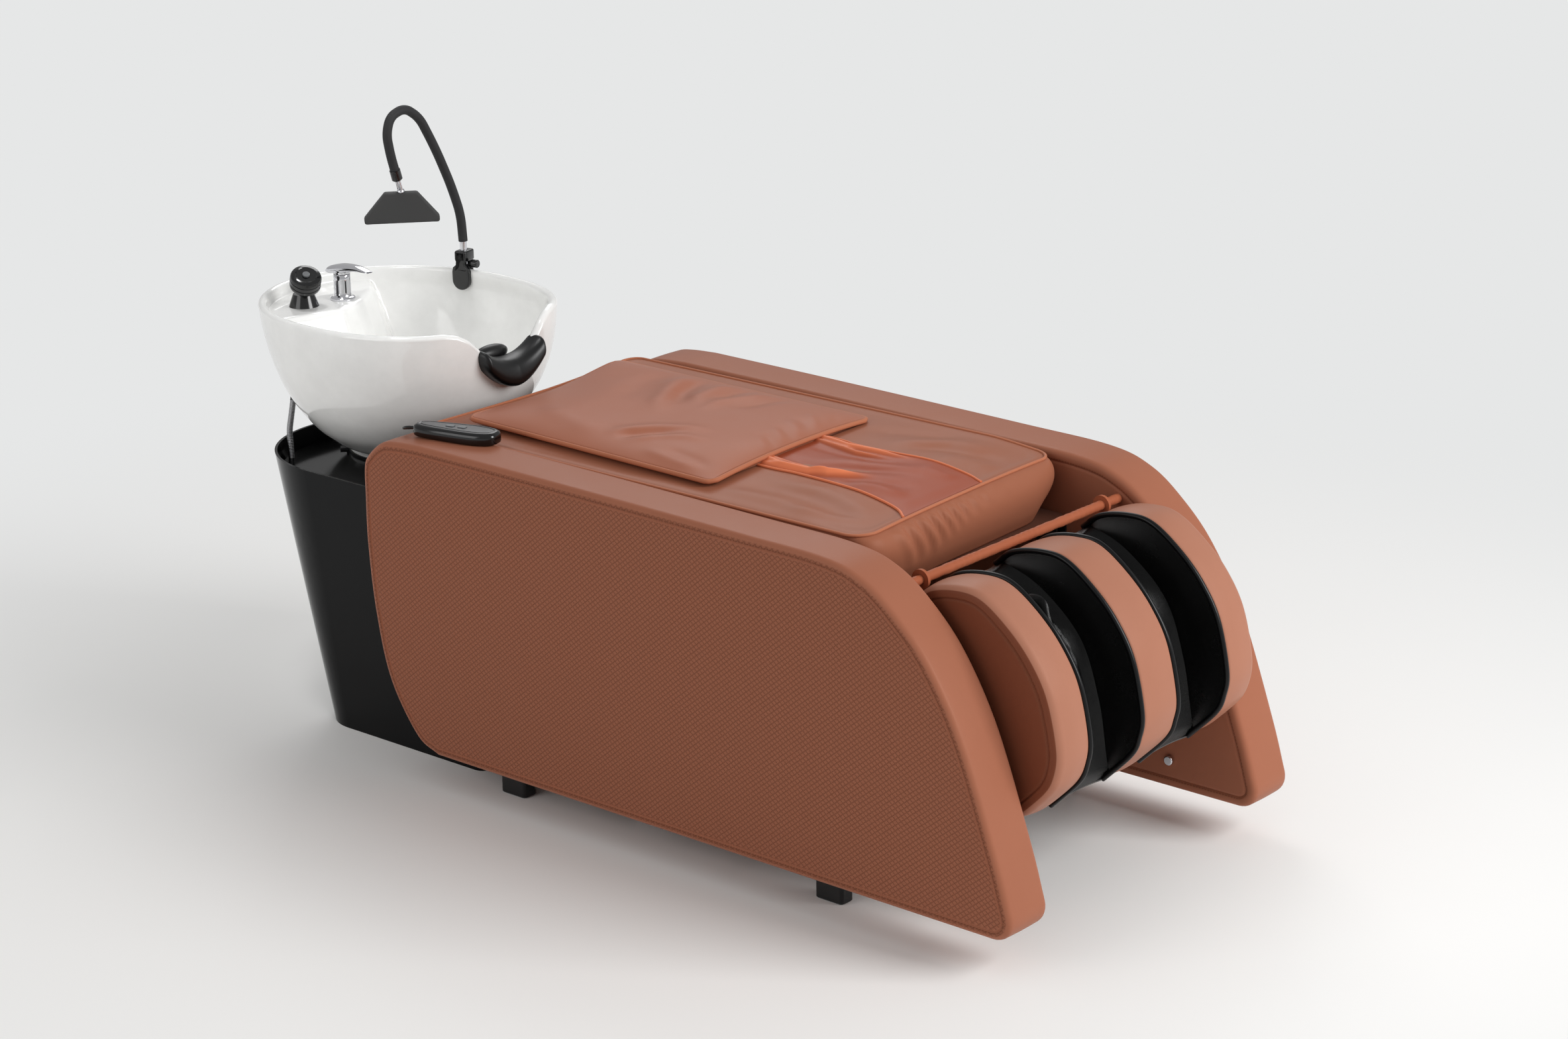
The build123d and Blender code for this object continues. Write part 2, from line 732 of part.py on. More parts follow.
with BuildPart(actuator_axis) as actuator_body:
    with Locations((0, 0, tail_eye_radius)):
        Cylinder(actuator_radius, actuator_body_length - tail_eye_radius,
                 align=(Align.CENTER, Align.CENTER, Align.MIN))
    with Locations((0, -gearbox_drop / 2, gearbox_length / 2 + tail_eye_radius)):
        Box(1.6 * actuator_radius, gearbox_drop, gearbox_length)
    with Locations((0, 0, 0)):
        Cylinder(tail_eye_radius, actuator_eye_width, rotation=(0, 90, 0))
        Box(actuator_eye_width, 2 * tail_eye_radius, tail_eye_radius * 1.4,
            align=(Align.CENTER, Align.CENTER, Align.MIN))
        Cylinder(tail_pin_radius + running_gap, 2 * actuator_eye_width, rotation=(0, 90, 0),
                 mode=Mode.SUBTRACT)
    with Locations((0, 0, rod_pocket)):
        Cylinder(rod_radius + running_gap, actuator_body_length,
                 align=(Align.CENTER, Align.CENTER, Align.MIN), mode=Mode.SUBTRACT)

with BuildPart(actuator_axis) as actuator_rod:
    with Locations((0, 0, rod_pocket)):
        Cylinder(rod_radius, actuator_run - rod_pocket - rod_eye_bore,
                 align=(Align.CENTER, Align.CENTER, Align.MIN))
    with Locations((0, 0, actuator_run)):
        Cylinder(rod_eye_radius, actuator_eye_width, rotation=(0, 90, 0))
        Cylinder(rod_eye_bore, 2 * actuator_eye_width, rotation=(0, 90, 0), mode=Mode.SUBTRACT)

# Massage carriage on its rails, driven by a lead screw
screw_z = board_top_z + screw_rise
roller_z = board_top_z + roller_rise
rail_start_x = channel_rear_x + motor_length + 2 * seat_gap
plate_x = channel_front_x - end_plate_thickness - seat_gap

with BuildPart() as massage_rails:
    with BuildSketch(Plane.XY.offset(board_top_z)):
        with Locations(*[((rail_start_x + plate_x) / 2, side * massage_rail_y) for side in (-1, 1)]):
            Rectangle(plate_x - rail_start_x, massage_rail_width)
    extrude(amount=massage_rail_height)
    with BuildSketch(Plane.YZ.offset(plate_x)):
        with Locations((0, board_top_z + screw_rise)):
            Rectangle(2 * massage_rail_y + massage_rail_width, 2 * screw_rise)
            Circle(screw_radius + running_gap, mode=Mode.SUBTRACT)
    extrude(amount=end_plate_thickness)

with BuildPart() as drive_motor:
    with BuildSketch(Plane.YZ.offset(channel_rear_x + seat_gap)):
        with Locations((0, board_top_z + motor_height / 2)):
            RectangleRounded(motor_width, motor_height, motor_height / 6)
        with Locations((0, screw_z)):
            Circle(screw_radius + running_gap, mode=Mode.SUBTRACT)
    extrude(amount=motor_length)

with BuildPart() as lead_screw:
    with BuildSketch(Plane.YZ.offset(channel_rear_x + motor_length / 2)):
        with Locations((0, screw_z)):
            Circle(screw_radius)
    extrude(amount=plate_x + end_plate_thickness / 2 - channel_rear_x - motor_length / 2)

with BuildPart() as massage_carriage:
    block_low_z = board_top_z + massage_rail_height + seat_gap
    yoke_y = roller_y + roller_width / 2 + seat_gap + yoke_thickness / 2
    with BuildSketch(Plane.XY.offset(block_low_z)):
        with Locations((carriage_x, 0)):
            Rectangle(carriage_length, 2 * massage_rail_y)
    extrude(amount=carriage_height)
    for side in (-1, 1):
        with BuildSketch(Plane.XZ.offset(side * yoke_y - yoke_thickness / 2)):
            with BuildLine():
                Polyline((carriage_x - carriage_length / 3, block_low_z),
                         (carriage_x - roller_axle_radius * 2, roller_z),
                         (carriage_x + roller_axle_radius * 2, roller_z),
                         (carriage_x + carriage_length / 3, block_low_z), close=True)
            make_face()
            with Locations((carriage_x, roller_z)):
                Circle(roller_axle_radius * 2)
        extrude(amount=yoke_thickness)
    with BuildSketch(Plane.XZ.offset(-yoke_y - yoke_thickness)):
        with Locations((carriage_x, roller_z)):
            Circle(roller_axle_radius + running_gap)
    extrude(amount=2 * yoke_y + 2 * yoke_thickness, mode=Mode.SUBTRACT)
    with BuildSketch(Plane.YZ.offset(carriage_x - carriage_length)):
        with Locations((0, screw_z)):
            Circle(screw_radius + running_gap)
    extrude(amount=2 * carriage_length, mode=Mode.SUBTRACT)

with BuildPart() as massage_rollers:
    with BuildSketch(Plane.XZ.offset(-yoke_y - yoke_thickness / 2)):
        with Locations((carriage_x, roller_z)):
            Circle(roller_axle_radius)
    extrude(amount=2 * yoke_y + yoke_thickness)
    for side in (-1, 1):
        with BuildSketch(Plane.XZ.offset(side * roller_y - roller_width / 2)):
            with Locations((carriage_x, roller_z)):
                Circle(roller_radius)
        extrude(amount=roller_width)
    fillet(massage_rollers.edges().filter_by(GeomType.CIRCLE).filter_by(
        lambda edge: edge.radius > roller_radius - seat_gap), roller_width / 4)

with BuildPart() as control_box:
    with BuildSketch(Plane.XY.offset(board_bottom_z - control_height)):
        with Locations((control_x, control_y)):
            RectangleRounded(control_length, control_width, foot_corner_radius)
    extrude(amount=control_height)
    with BuildSketch(Plane.YZ.offset(control_x + control_length / 2 - control_height / 3)):
        with Locations((control_y, board_bottom_z - control_height / 2)):
            Rectangle(control_height * 0.56, control_height * 0.4)
    extrude(amount=control_height, mode=Mode.SUBTRACT)


# Pedestal shell, its recessed deck and the steel stand inside
def pedestal_outline(rear_x, half, rear_radius, inset):
    """Rounded outline of the pedestal at one height, drawn in by an inset."""
    rear, front, side = rear_x + inset, pedestal_front_x - inset, half - inset
    rear_curve, front_curve = rear_radius - inset, pedestal_front_radius - inset
    corner = 1 - cos(pi / 4)
    for flip in (-1, 1):
        Line((rear, 0), (rear, flip * (side - rear_curve)))
        ThreePointArc((rear, flip * (side - rear_curve)),
                      (rear + rear_curve * corner, flip * (side - rear_curve * corner)),
                      (rear + rear_curve, flip * side))
        Line((rear + rear_curve, flip * side), (front - front_curve, flip * side))
        ThreePointArc((front - front_curve, flip * side),
                      (front - front_curve * corner, flip * (side - front_curve * corner)),
                      (front, flip * (side - front_curve)))
        Line((front, flip * (side - front_curve)), (front, 0))


def pedestal_body(inset):
    """Loft the pedestal from the floor to its rim."""
    with BuildPart() as body:
        with BuildSketch(Plane.XY):
            with BuildLine():
                pedestal_outline(pedestal_base_rear_x, pedestal_base_half, pedestal_base_radius, inset)
            make_face()
        with BuildSketch(Plane.XY.offset(pedestal_height)):
            with BuildLine():
                pedestal_outline(pedestal_top_rear_x, pedestal_top_half, pedestal_top_radius, inset)
            make_face()
        loft(ruled=True)
    return body.part


with BuildPart() as pedestal_shell:
    add(pedestal_body(0))
    add(pedestal_body(pedestal_wall), mode=Mode.SUBTRACT)

hose_floor_x = -862
hose_floor_y = -183
with BuildPart() as pedestal_deck:
    add(pedestal_body(pedestal_wall + seat_gap))
    with Locations((basin_x, 0, deck_height - deck_thickness / 2)):
        Box(2 * basin_length, bed_width, deck_thickness, mode=Mode.INTERSECT)
    with BuildSketch(Plane.XY.offset(deck_height - deck_thickness)):
        with Locations((basin_foot_x, 0)):
            Circle(basin_foot_recess - stand_plate_thickness)
    extrude(amount=deck_thickness, mode=Mode.SUBTRACT)

with BuildPart() as basin_stand:
    with BuildSketch(Plane.XY.offset(stand_top_z - stand_plate_thickness)):
        with Locations(((stand_rear_x + stand_front_x) / 2, 0)):
            Rectangle(stand_front_x - stand_rear_x, 2 * stand_half)
        with Locations((basin_foot_x, 0)):
            Circle(basin_foot_recess - 2 * stand_plate_thickness, mode=Mode.SUBTRACT)
    extrude(amount=stand_plate_thickness)
    with BuildSketch(Plane.XY):
        with Locations((stand_post_x, stand_post_y), (stand_post_x, -stand_post_y)):
            Rectangle(stand_post, stand_post)
    extrude(amount=stand_top_z - stand_plate_thickness)
    for start in (stand_post_y - stand_plate_thickness / 2, -stand_post_y - stand_plate_thickness / 2):
        with BuildSketch(Plane.XZ.offset(start)):
            with BuildLine():
                Polyline((stand_rear_x, stand_top_z - stand_plate_thickness),
                         (stand_post_x, stand_top_z - stand_plate_thickness),
                         (stand_post_x, deck_height / 2), close=True)
            make_face()
        extrude(amount=stand_plate_thickness)
    with Locations((stand_post_x, 0, stand_post / 4)):
        Box(stand_post, 2 * stand_post_y, stand_post / 2)

# Basin with its shelf, neck dip, drain and hose passage
holder_top = Vector(holder_x, holder_y, shelf_z)
guide_run = Vector(*guide_lean_shares).normalized()
guide_plane = Plane(origin=holder_top, z_dir=guide_run)

with BuildPart() as bowl_inside:
    add(basin_body(-basin_wall, basin_floor, cut_over))
    with BuildSketch(Plane.XY.offset(basin_foot_z)):
        with BuildLine():
            wide = basin_width
            setback = shelf_side_setback * (wide / (basin_width / 2)) ** 2
            draft = tan(radians(shelf_taper)) * (shelf_z - basin_foot_z)
            ThreePointArc((shelf_front_x + draft - setback, -wide), (shelf_front_x + draft, 0),
                          (shelf_front_x + draft - setback, wide))
            Polyline((shelf_front_x + draft - setback, wide), (basin_x - basin_length, wide),
                     (basin_x - basin_length, -wide), (shelf_front_x + draft - setback, -wide))
        make_face()
    extrude(amount=shelf_z - basin_foot_z, taper=shelf_taper, mode=Mode.SUBTRACT)

with BuildPart() as basin:
    add(basin_body(0))
    with Locations((basin_foot_x, 0, basin_foot_z)):
        Cylinder(basin_foot_radius, basin_foot_height, align=(Align.CENTER, Align.CENTER, Align.MIN))
    add(bowl_inside.part, mode=Mode.SUBTRACT)
    add(dip_cut(0, basin_length), mode=Mode.SUBTRACT)
    with Locations((basin_foot_x, 0, basin_foot_z)):
        Cylinder(basin_foot_recess, basin_foot_height, align=(Align.CENTER, Align.CENTER, Align.MIN),
                 mode=Mode.SUBTRACT)
        Cylinder(drain_radius, 4 * basin_foot_height, align=(Align.CENTER, Align.CENTER, Align.MIN),
                 mode=Mode.SUBTRACT)
    with BuildSketch(guide_plane.offset(-cut_over)):
        Circle(guide_hole_radius)
    extrude(amount=guide_length + 2 * cut_over, mode=Mode.SUBTRACT)

basin_floor_z = basin_body_z + basin_floor
with BuildPart() as drain_flange:
    with BuildSketch(Plane(origin=(basin_foot_x, 0, 0), z_dir=(0, -1, 0), x_dir=(1, 0, 0))):
        with BuildLine():
            flange_top = basin_floor_z + nozzle_plate_thickness + seat_gap
            tail = drain_radius - seat_gap
            Polyline((0, basin_floor_z - gasket_thickness), (tail - waste_wall, basin_floor_z - gasket_thickness),
                     (tail - waste_wall, stand_top_z - cut_over), (tail, stand_top_z - cut_over),
                     (tail, basin_floor_z + seat_gap), (drain_flange_radius, basin_floor_z + seat_gap),
                     (drain_flange_radius - nozzle_plate_thickness, flange_top), (0, flange_top), close=True)
        make_face()
    revolve(axis=Axis((basin_foot_x, 0, 0), (0, 0, 1)))
    with BuildSketch(Plane.XY.offset(flange_top)):
        with Locations((basin_foot_x, 0)):
            with PolarLocations(tail / 2, 8):
                Circle(nozzle_plate_thickness)
            Circle(nozzle_plate_thickness)
    extrude(amount=-cut_over / 2, mode=Mode.SUBTRACT)

with BuildPart() as basin_gasket:
    with BuildSketch(Plane.XY.offset(deck_height)):
        with Locations((basin_foot_x, 0)):
            Circle(basin_foot_radius + nozzle_plate_thickness)
            Circle(basin_foot_recess, mode=Mode.SUBTRACT)
    extrude(amount=basin_foot_z - deck_height)

with BuildPart() as basin_brackets:
    bracket_inner = basin_foot_radius + nozzle_plate_thickness + seat_gap
    for turn in (45, 135, 225, 315):
        side_plane = Plane(origin=(basin_foot_x, 0, deck_height),
                           x_dir=(cos(radians(turn)), sin(radians(turn)), 0))
        with BuildSketch(side_plane):
            with Locations((bracket_inner + bracket_width / 2, 0)):
                Rectangle(bracket_width, bracket_width)
        extrude(amount=bracket_thickness)
        with BuildSketch(side_plane):
            with Locations((bracket_inner + bracket_thickness / 2, 0)):
                Rectangle(bracket_thickness, bracket_width)
        extrude(amount=bracket_height)

# Neck rest: rubber saddle over the dip, slotted for the basin's wall
with BuildPart() as neck_rest:
    dip_z = basin_rim_z - dip_depth
    rest_top = dip_z + neck_rest_rise
    rim_front_x = basin_x + basin_length / 2
    with BuildSketch(Plane.YZ.offset(rim_front_x - neck_rest_rear)):
        with BuildLine():
            ThreePointArc((-neck_rest_half, rest_top + neck_rest_saddle), (0, rest_top),
                          (neck_rest_half, rest_top + neck_rest_saddle))
            ThreePointArc((neck_rest_half, rest_top + neck_rest_saddle), (0, dip_z - neck_rest_drop),
                          (-neck_rest_half, rest_top + neck_rest_saddle))
        make_face()
    extrude(amount=neck_rest_rear + neck_rest_front)
    add(basin_body(seat_gap, 0, cut_over) - basin_body(-basin_wall - seat_gap, basin_floor, cut_over)
        - dip_cut(-seat_gap, basin_length), mode=Mode.SUBTRACT)

# Mixer on the shelf
with BuildPart() as mixer_body:
    with BuildSketch(Plane.XY.offset(shelf_z)):
        with Locations((mixer_x, mixer_y)):
            Circle(mixer_flange_radius)
    extrude(amount=mixer_flange_height)
    chamfer(mixer_body.faces().sort_by(Axis.Z)[-1].edges(), mixer_flange_height / 3)
    with BuildSketch(Plane.XY.offset(shelf_z + mixer_flange_height)):
        with Locations((mixer_x, mixer_y)):
            Circle(mixer_body_radius)
    extrude(amount=mixer_body_height, taper=2)

cap_z = shelf_z + mixer_flange_height + mixer_body_height + seat_gap
cap_radius = mixer_body_radius
with BuildPart() as mixer_cap:
    with BuildSketch(Plane.XY.offset(cap_z)):
        with Locations((mixer_x, mixer_y)):
            Circle(cap_radius)
    extrude(amount=mixer_cap_height)
    fillet(mixer_cap.faces().sort_by(Axis.Z)[-1].edges(), mixer_cap_height / 4)

lever_z = cap_z + mixer_cap_height + seat_gap
with BuildPart() as mixer_lever:
    with BuildSketch(Plane.XZ.offset(-mixer_y - lever_width / 2)):
        with BuildLine():
            start = (mixer_x - lever_width, lever_z)
            tip = (mixer_x + lever_reach, lever_z - lever_thickness / 2)
            hump = (mixer_x + lever_width / 2, lever_z + lever_thickness)
            ThreePointArc(start, hump, tip)
            under = (mixer_x + lever_reach, lever_z - lever_thickness)
            Polyline(tip, under, (mixer_x + lever_width, lever_z), start)
        make_face()
    extrude(amount=lever_width)

# Hand shower in its holder; a guide tube leads the hose through the basin
shower_axis = Plane(origin=holder_top + Vector(0, 0, holder_height * 0.6), x_dir=(0, 1, 0),
                    z_dir=Vector(*shower_lean))
with BuildPart() as shower_holder:
    with Locations((holder_x, holder_y, shelf_z)):
        Cone(holder_radius, holder_radius * 0.7, holder_height,
             align=(Align.CENTER, Align.CENTER, Align.MIN))
    with BuildSketch(guide_plane.offset(-holder_bore_radius)):
        Circle(holder_bore_radius)
    extrude(amount=guide_length + holder_bore_radius)
    with BuildSketch(shower_axis.offset(-shower_stem_radius / 2)):
        Circle(shower_stem_radius + seat_gap)
    extrude(amount=2 * holder_height, mode=Mode.SUBTRACT)

with BuildPart() as hand_shower:
    with BuildSketch(shower_axis.offset(seat_gap - shower_stem_radius / 2)):
        Circle(shower_stem_radius)
    extrude(amount=shower_head_setback + shower_stem_radius)
    with BuildSketch(shower_axis.offset(shower_head_setback)):
        Circle(shower_head_radius / 2)
    with BuildSketch(shower_axis.offset(shower_head_setback + shower_head_length / 3)):
        Circle(shower_head_radius)
    loft(ruled=True)
    with BuildSketch(shower_axis.offset(shower_head_setback + shower_head_length / 3)):
        Circle(shower_head_radius)
    extrude(amount=shower_head_length * 2 / 3)
    with BuildSketch(shower_axis.offset(shower_head_setback + shower_head_length)):
        Circle(shower_button_radius + seat_gap)
    extrude(amount=-2 * shower_button_travel - seat_gap, mode=Mode.SUBTRACT)

with BuildPart() as shower_button:
    with BuildSketch(shower_axis.offset(shower_head_setback + shower_head_length - shower_button_travel)):
        Circle(shower_button_radius)
    extrude(amount=2 * shower_button_travel)

# Ribbed hose from the guide tube to the deck
guide_end = holder_top + guide_run * guide_length
hose_route = [tuple(guide_end), tuple(guide_end + guide_run * hose_lead), (-871, -177, 512),
              (hose_floor_x, hose_floor_y, 488), (hose_floor_x, hose_floor_y, deck_height)]
with BuildPart() as shower_hose:
    with BuildLine() as hose_line:
        cord_path(hose_route)
    hose_wire = hose_line.wires()[0]
    rib_count = round(hose_wire.length / hose_rib_pitch)
    print("hose length", round(hose_wire.length), "ribs", rib_count)
    radii = [hose_root_radius, hose_root_radius, hose_radius, hose_radius]
    for step in range(4 * rib_count + 1):
        place = step / (4 * rib_count)
        with BuildSketch(Plane(origin=hose_wire @ place, x_dir=(1, 0, 0), z_dir=hose_wire % place)):
            Circle(radii[step % 4])
    loft(ruled=True)
    with BuildSketch(Plane(origin=hose_wire @ 0, x_dir=(1, 0, 0), z_dir=hose_wire % 0)):
        Circle(hose_bore_radius)
    sweep(path=hose_wire, mode=Mode.SUBTRACT)

# Spray arm: clamp on the rim, gooseneck and flat spray head
rim_reach = basin_length / 2
rim_half = basin_width / 2
clamp_along = (clamp_x - basin_x) / rim_reach
clamp_side = rim_half * (1 - clamp_along ** 2) ** 0.5
clamp_turn = degrees(atan2(-rim_half ** 2 * (clamp_x - basin_x), rim_reach ** 2 * clamp_side))
clamp_plane = Plane(origin=(clamp_x, clamp_side, basin_rim_z),
                    x_dir=(cos(radians(clamp_turn)), sin(radians(clamp_turn)), 0))
inner_face = -basin_wall - clamp_grip_gap
clamp_middle = (inner_face - clamp_inner + clamp_outer + clamp_grip_gap) / 2
stem_place = (0, -basin_wall / 2 - stem_setback)

with BuildPart() as arm_clamp:
    clamp_depth = clamp_inner + clamp_outer + basin_wall + 2 * clamp_grip_gap
    with BuildSketch(clamp_plane.offset(-clamp_jaw_drop)):
        with Locations((0, clamp_middle)):
            RectangleRounded(clamp_width, clamp_depth, clamp_outer / 3)
    extrude(amount=clamp_jaw_drop + clamp_rise)
    with BuildSketch(clamp_plane.offset(-clamp_jaw_drop)):
        with Locations((0, -basin_wall / 2)):
            Rectangle(2 * clamp_width, basin_wall + 2 * clamp_grip_gap)
    extrude(amount=clamp_jaw_drop + seat_gap, mode=Mode.SUBTRACT)
    with BuildSketch(clamp_plane.offset(clamp_rise - stem_socket)):
        with Locations(stem_place):
            Circle(stem_radius + running_gap)
    extrude(amount=stem_socket, mode=Mode.SUBTRACT)
    knob_plane = Plane(origin=clamp_plane.from_local_coords(Vector(0, stem_place[1], clamp_rise / 3)),
                       x_dir=(0, 0, 1), z_dir=clamp_plane.x_dir)
    with BuildSketch(knob_plane.offset(stem_radius + knob_shaft_radius)):
        Circle(knob_shaft_radius + running_gap)
    extrude(amount=clamp_width, mode=Mode.SUBTRACT)
    screw_plane = Plane(origin=clamp_plane.from_local_coords(Vector(0, clamp_grip_gap, -clamp_jaw_drop / 2)),
                        x_dir=(0, 0, 1), z_dir=clamp_plane.y_dir)
    with BuildSketch(screw_plane):
        Circle(screw_shaft_radius + running_gap)
    extrude(amount=2 * clamp_outer, mode=Mode.SUBTRACT)

with BuildPart() as clamp_knob:
    with BuildSketch(knob_plane.offset(stem_radius + knob_shaft_radius + seat_gap)):
        Circle(knob_shaft_radius)
    extrude(amount=clamp_width / 2 - stem_radius)
    with BuildSketch(knob_plane.offset(clamp_width / 2 + seat_gap)):
        Circle(knob_radius)
    extrude(amount=knob_length)
    chamfer(clamp_knob.faces().filter_by(GeomType.PLANE).sort_by(Axis.X)[-1].edges(), knob_radius / 6)

with BuildPart() as clamp_screw:
    with BuildSketch(screw_plane.offset(seat_gap)):
        Circle(screw_shaft_radius)
    extrude(amount=clamp_outer + screw_grip_length / 2)
    with BuildSketch(screw_plane.offset(clamp_outer + 2 * seat_gap)):
        with PolarLocations(screw_grip_radius / 2, 3):
            Circle(screw_grip_radius / 2)
        Circle(screw_grip_radius * 0.7)
    extrude(amount=screw_grip_length)

stem_base = clamp_plane.from_local_coords(Vector(*stem_place, clamp_rise - stem_socket + seat_gap))
sleeve_base_z = basin_rim_z + clamp_rise + 2 * sleeve_radius
arm_plane = Plane(origin=(stem_base.X, 0, 0), x_dir=(0, 1, 0), z_dir=(1, 0, 0))
arm_route = [(stem_base.Y - arm_reach * along, sleeve_base_z + arm_rise * up)
             for along, up in arm_route_shares]
with BuildPart() as arm_stem:
    with BuildSketch(Plane.XY.offset(stem_base.Z)):
        with Locations((stem_base.X, stem_base.Y)):
            Circle(stem_radius)
    extrude(amount=sleeve_base_z - 2 * seat_gap - stem_base.Z)

with BuildPart() as arm_sleeve:
    with BuildLine(arm_plane) as arm_line:
        cord_path(arm_route)
    arm_wire = arm_line.wires()[0]
    with BuildSketch(Plane(origin=arm_wire @ 0, x_dir=(1, 0, 0), z_dir=arm_wire % 0)):
        Circle(sleeve_radius)
    sweep(path=arm_wire)
    print("arm length", round(arm_wire.length), "volume ratio",
          round(arm_sleeve.part.volume / (pi * sleeve_radius ** 2 * arm_wire.length), 4))

tip_plane = Plane(origin=arm_wire @ 1, x_dir=(1, 0, 0), z_dir=arm_wire % 1)
with BuildPart() as arm_tip:
    with BuildSketch(tip_plane):
        Circle(tip_radius)
    extrude(amount=tip_length)
    chamfer(arm_tip.faces().sort_by(Axis.Z)[0].edges(), tip_radius / 4)

ball_centre = tip_plane.from_local_coords(Vector(0, 0, tip_length + neck_tube_length + neck_ball_radius * 0.6))
with BuildPart() as head_neck:
    with BuildSketch(tip_plane.offset(tip_length)):
        with Locations((-neck_tube_spread, 0), (neck_tube_spread, 0)):
            Circle(neck_tube_radius)
    extrude(amount=neck_tube_length + neck_tube_radius)
    with Locations(Plane(origin=ball_centre, x_dir=tip_plane.x_dir, z_dir=tip_plane.z_dir)):
        Sphere(neck_ball_radius)

head_top = ball_centre
spray_plane = Plane(origin=head_top, x_dir=(cos(radians(spray_turn)), sin(radians(spray_turn)), 0),
                    z_dir=(sin(radians(spray_turn)), -cos(radians(spray_turn)), 0))
with BuildPart() as spray_head:
    with BuildSketch(spray_plane.offset(-spray_thickness / 2)) as spray_outline:
        with BuildLine():
            Polyline((-spray_top_width / 2, 0), (spray_top_width / 2, 0),
                     (spray_bottom_width / 2, -spray_height * 0.8), (spray_bottom_width / 2, -spray_height),
                     (-spray_bottom_width / 2, -spray_height), (-spray_bottom_width / 2, -spray_height * 0.8),
                     close=True)
        make_face()
        fillet(spray_outline.vertices(), spray_thickness / 5)
    extrude(amount=spray_thickness)
    fillet(spray_head.faces().sort_by(Axis(head_top, spray_plane.z_dir))[-1].edges(), spray_thickness / 8)
    with BuildSketch(Plane(origin=head_top - Vector(0, 0, spray_height), x_dir=spray_plane.x_dir)):
        Rectangle(spray_bottom_width * 0.88, spray_thickness / 2)
    extrude(amount=nozzle_plate_thickness, mode=Mode.SUBTRACT)
    with Locations(ball_centre):
        Sphere(neck_ball_radius + running_gap, mode=Mode.SUBTRACT)

with BuildPart() as nozzle_plate:
    with BuildSketch(Plane(origin=head_top - Vector(0, 0, spray_height), x_dir=spray_plane.x_dir)):
        Rectangle(spray_bottom_width * 0.88 - 2 * seat_gap, spray_thickness / 2 - 2 * seat_gap)
        with GridLocations(spray_bottom_width * 0.8 / nozzle_count, 0, nozzle_count, 1):
            Circle(nozzle_radius, mode=Mode.SUBTRACT)
    extrude(amount=nozzle_plate_thickness)

# Handset on the right panel, with two keys and its cable
handset_plane = Plane(origin=(handset_x, handset_y, handset_z),
                      x_dir=(cos(radians(handset_turn)), sin(radians(handset_turn)), 0))
key_places = [(-key_spacing / 2, 0), (key_spacing / 2, 0)]
with BuildPart() as handset_body:
    with BuildSketch(handset_plane):
        RectangleRounded(handset_length, handset_width, handset_corner)
    extrude(amount=handset_height)
    fillet(handset_body.faces().sort_by(Axis.Z)[-1].edges(), handset_edge)
    chamfer(handset_body.faces().sort_by(Axis.Z)[0].edges(), handset_edge / 2)
    with BuildSketch(handset_plane.offset(handset_height - key_height)):
        with Locations(*key_places):
            Rectangle(key_length + 2 * seat_gap, key_width + 2 * seat_gap)
    extrude(amount=2 * key_height, mode=Mode.SUBTRACT)


def handset_key(place):
    """One sprung key, standing proud of the handset by its travel."""
    with BuildPart() as key:
        with BuildSketch(handset_plane.offset(handset_height - key_height + key_travel + seat_gap)):
            with Locations(place):
                RectangleRounded(key_length, key_width, key_height)
        extrude(amount=key_height)
    return key


handset_power_key = handset_key(key_places[0])
handset_lift_key = handset_key(key_places[1])

cable_start = handset_plane.from_local_coords(Vector(-handset_length / 2, 0, handset_height / 2))
cable_out = handset_plane.x_dir * -1
cable_end_z = 600
cable_route = [tuple(cable_start), tuple(cable_start + cable_out * 16), (-380, -342, 645), (-383, -321, 640),
               (-366, -305, 641), (-343, -300, 647), (-319, -298, 649), (-300, -294.4, 640),
               (-296, -293.6, 620), (-296, -293.6, cable_end_z)]
with BuildPart() as handset_cable:
    with BuildLine() as cable_line:
        cord_path(cable_route)
    cable_wire = cable_line.wires()[0]
    with BuildSketch(Plane(origin=cable_wire @ 0, z_dir=cable_wire % 0)):
        Circle(cable_radius)
    sweep(path=cable_wire)
    print("cable length", round(cable_wire.length), "volume ratio",
          round(handset_cable.part.volume / (pi * cable_radius ** 2 * cable_wire.length), 4))

with BuildPart() as cable_grommet:
    with Locations((cable_route[-1][0], -panel_inner_y, cable_end_z)):
        Box(grommet_depth, seat_side_gap - 2 * seat_gap, grommet_depth,
            align=(Align.CENTER, Align.MIN, Align.MAX))

# Waste trap under the drain and water inlets on the stand
with BuildPart() as waste_trap:
    with Locations((basin_foot_x, 0, trap_top_z)):
        Cylinder(trap_radius, trap_height, align=(Align.CENTER, Align.CENTER, Align.MAX))
    with Locations((basin_foot_x, 0, trap_top_z)):
        Cylinder(waste_radius, stand_top_z - cut_over - trap_top_z,
                 align=(Align.CENTER, Align.CENTER, Align.MIN))
    with BuildLine(Plane.XZ) as waste_line:
        FilletPolyline((basin_foot_x + trap_radius / 2, trap_top_z - trap_height / 2),
                       (waste_outlet_x, trap_top_z - trap_height / 2), (waste_outlet_x, waste_outlet_z),
                       radius=1.5 * waste_radius)
    waste_wire = waste_line.wires()[0]
    with BuildSketch(Plane(origin=waste_wire @ 0, z_dir=waste_wire % 0)):
        Circle(waste_radius)
    sweep(path=waste_wire)

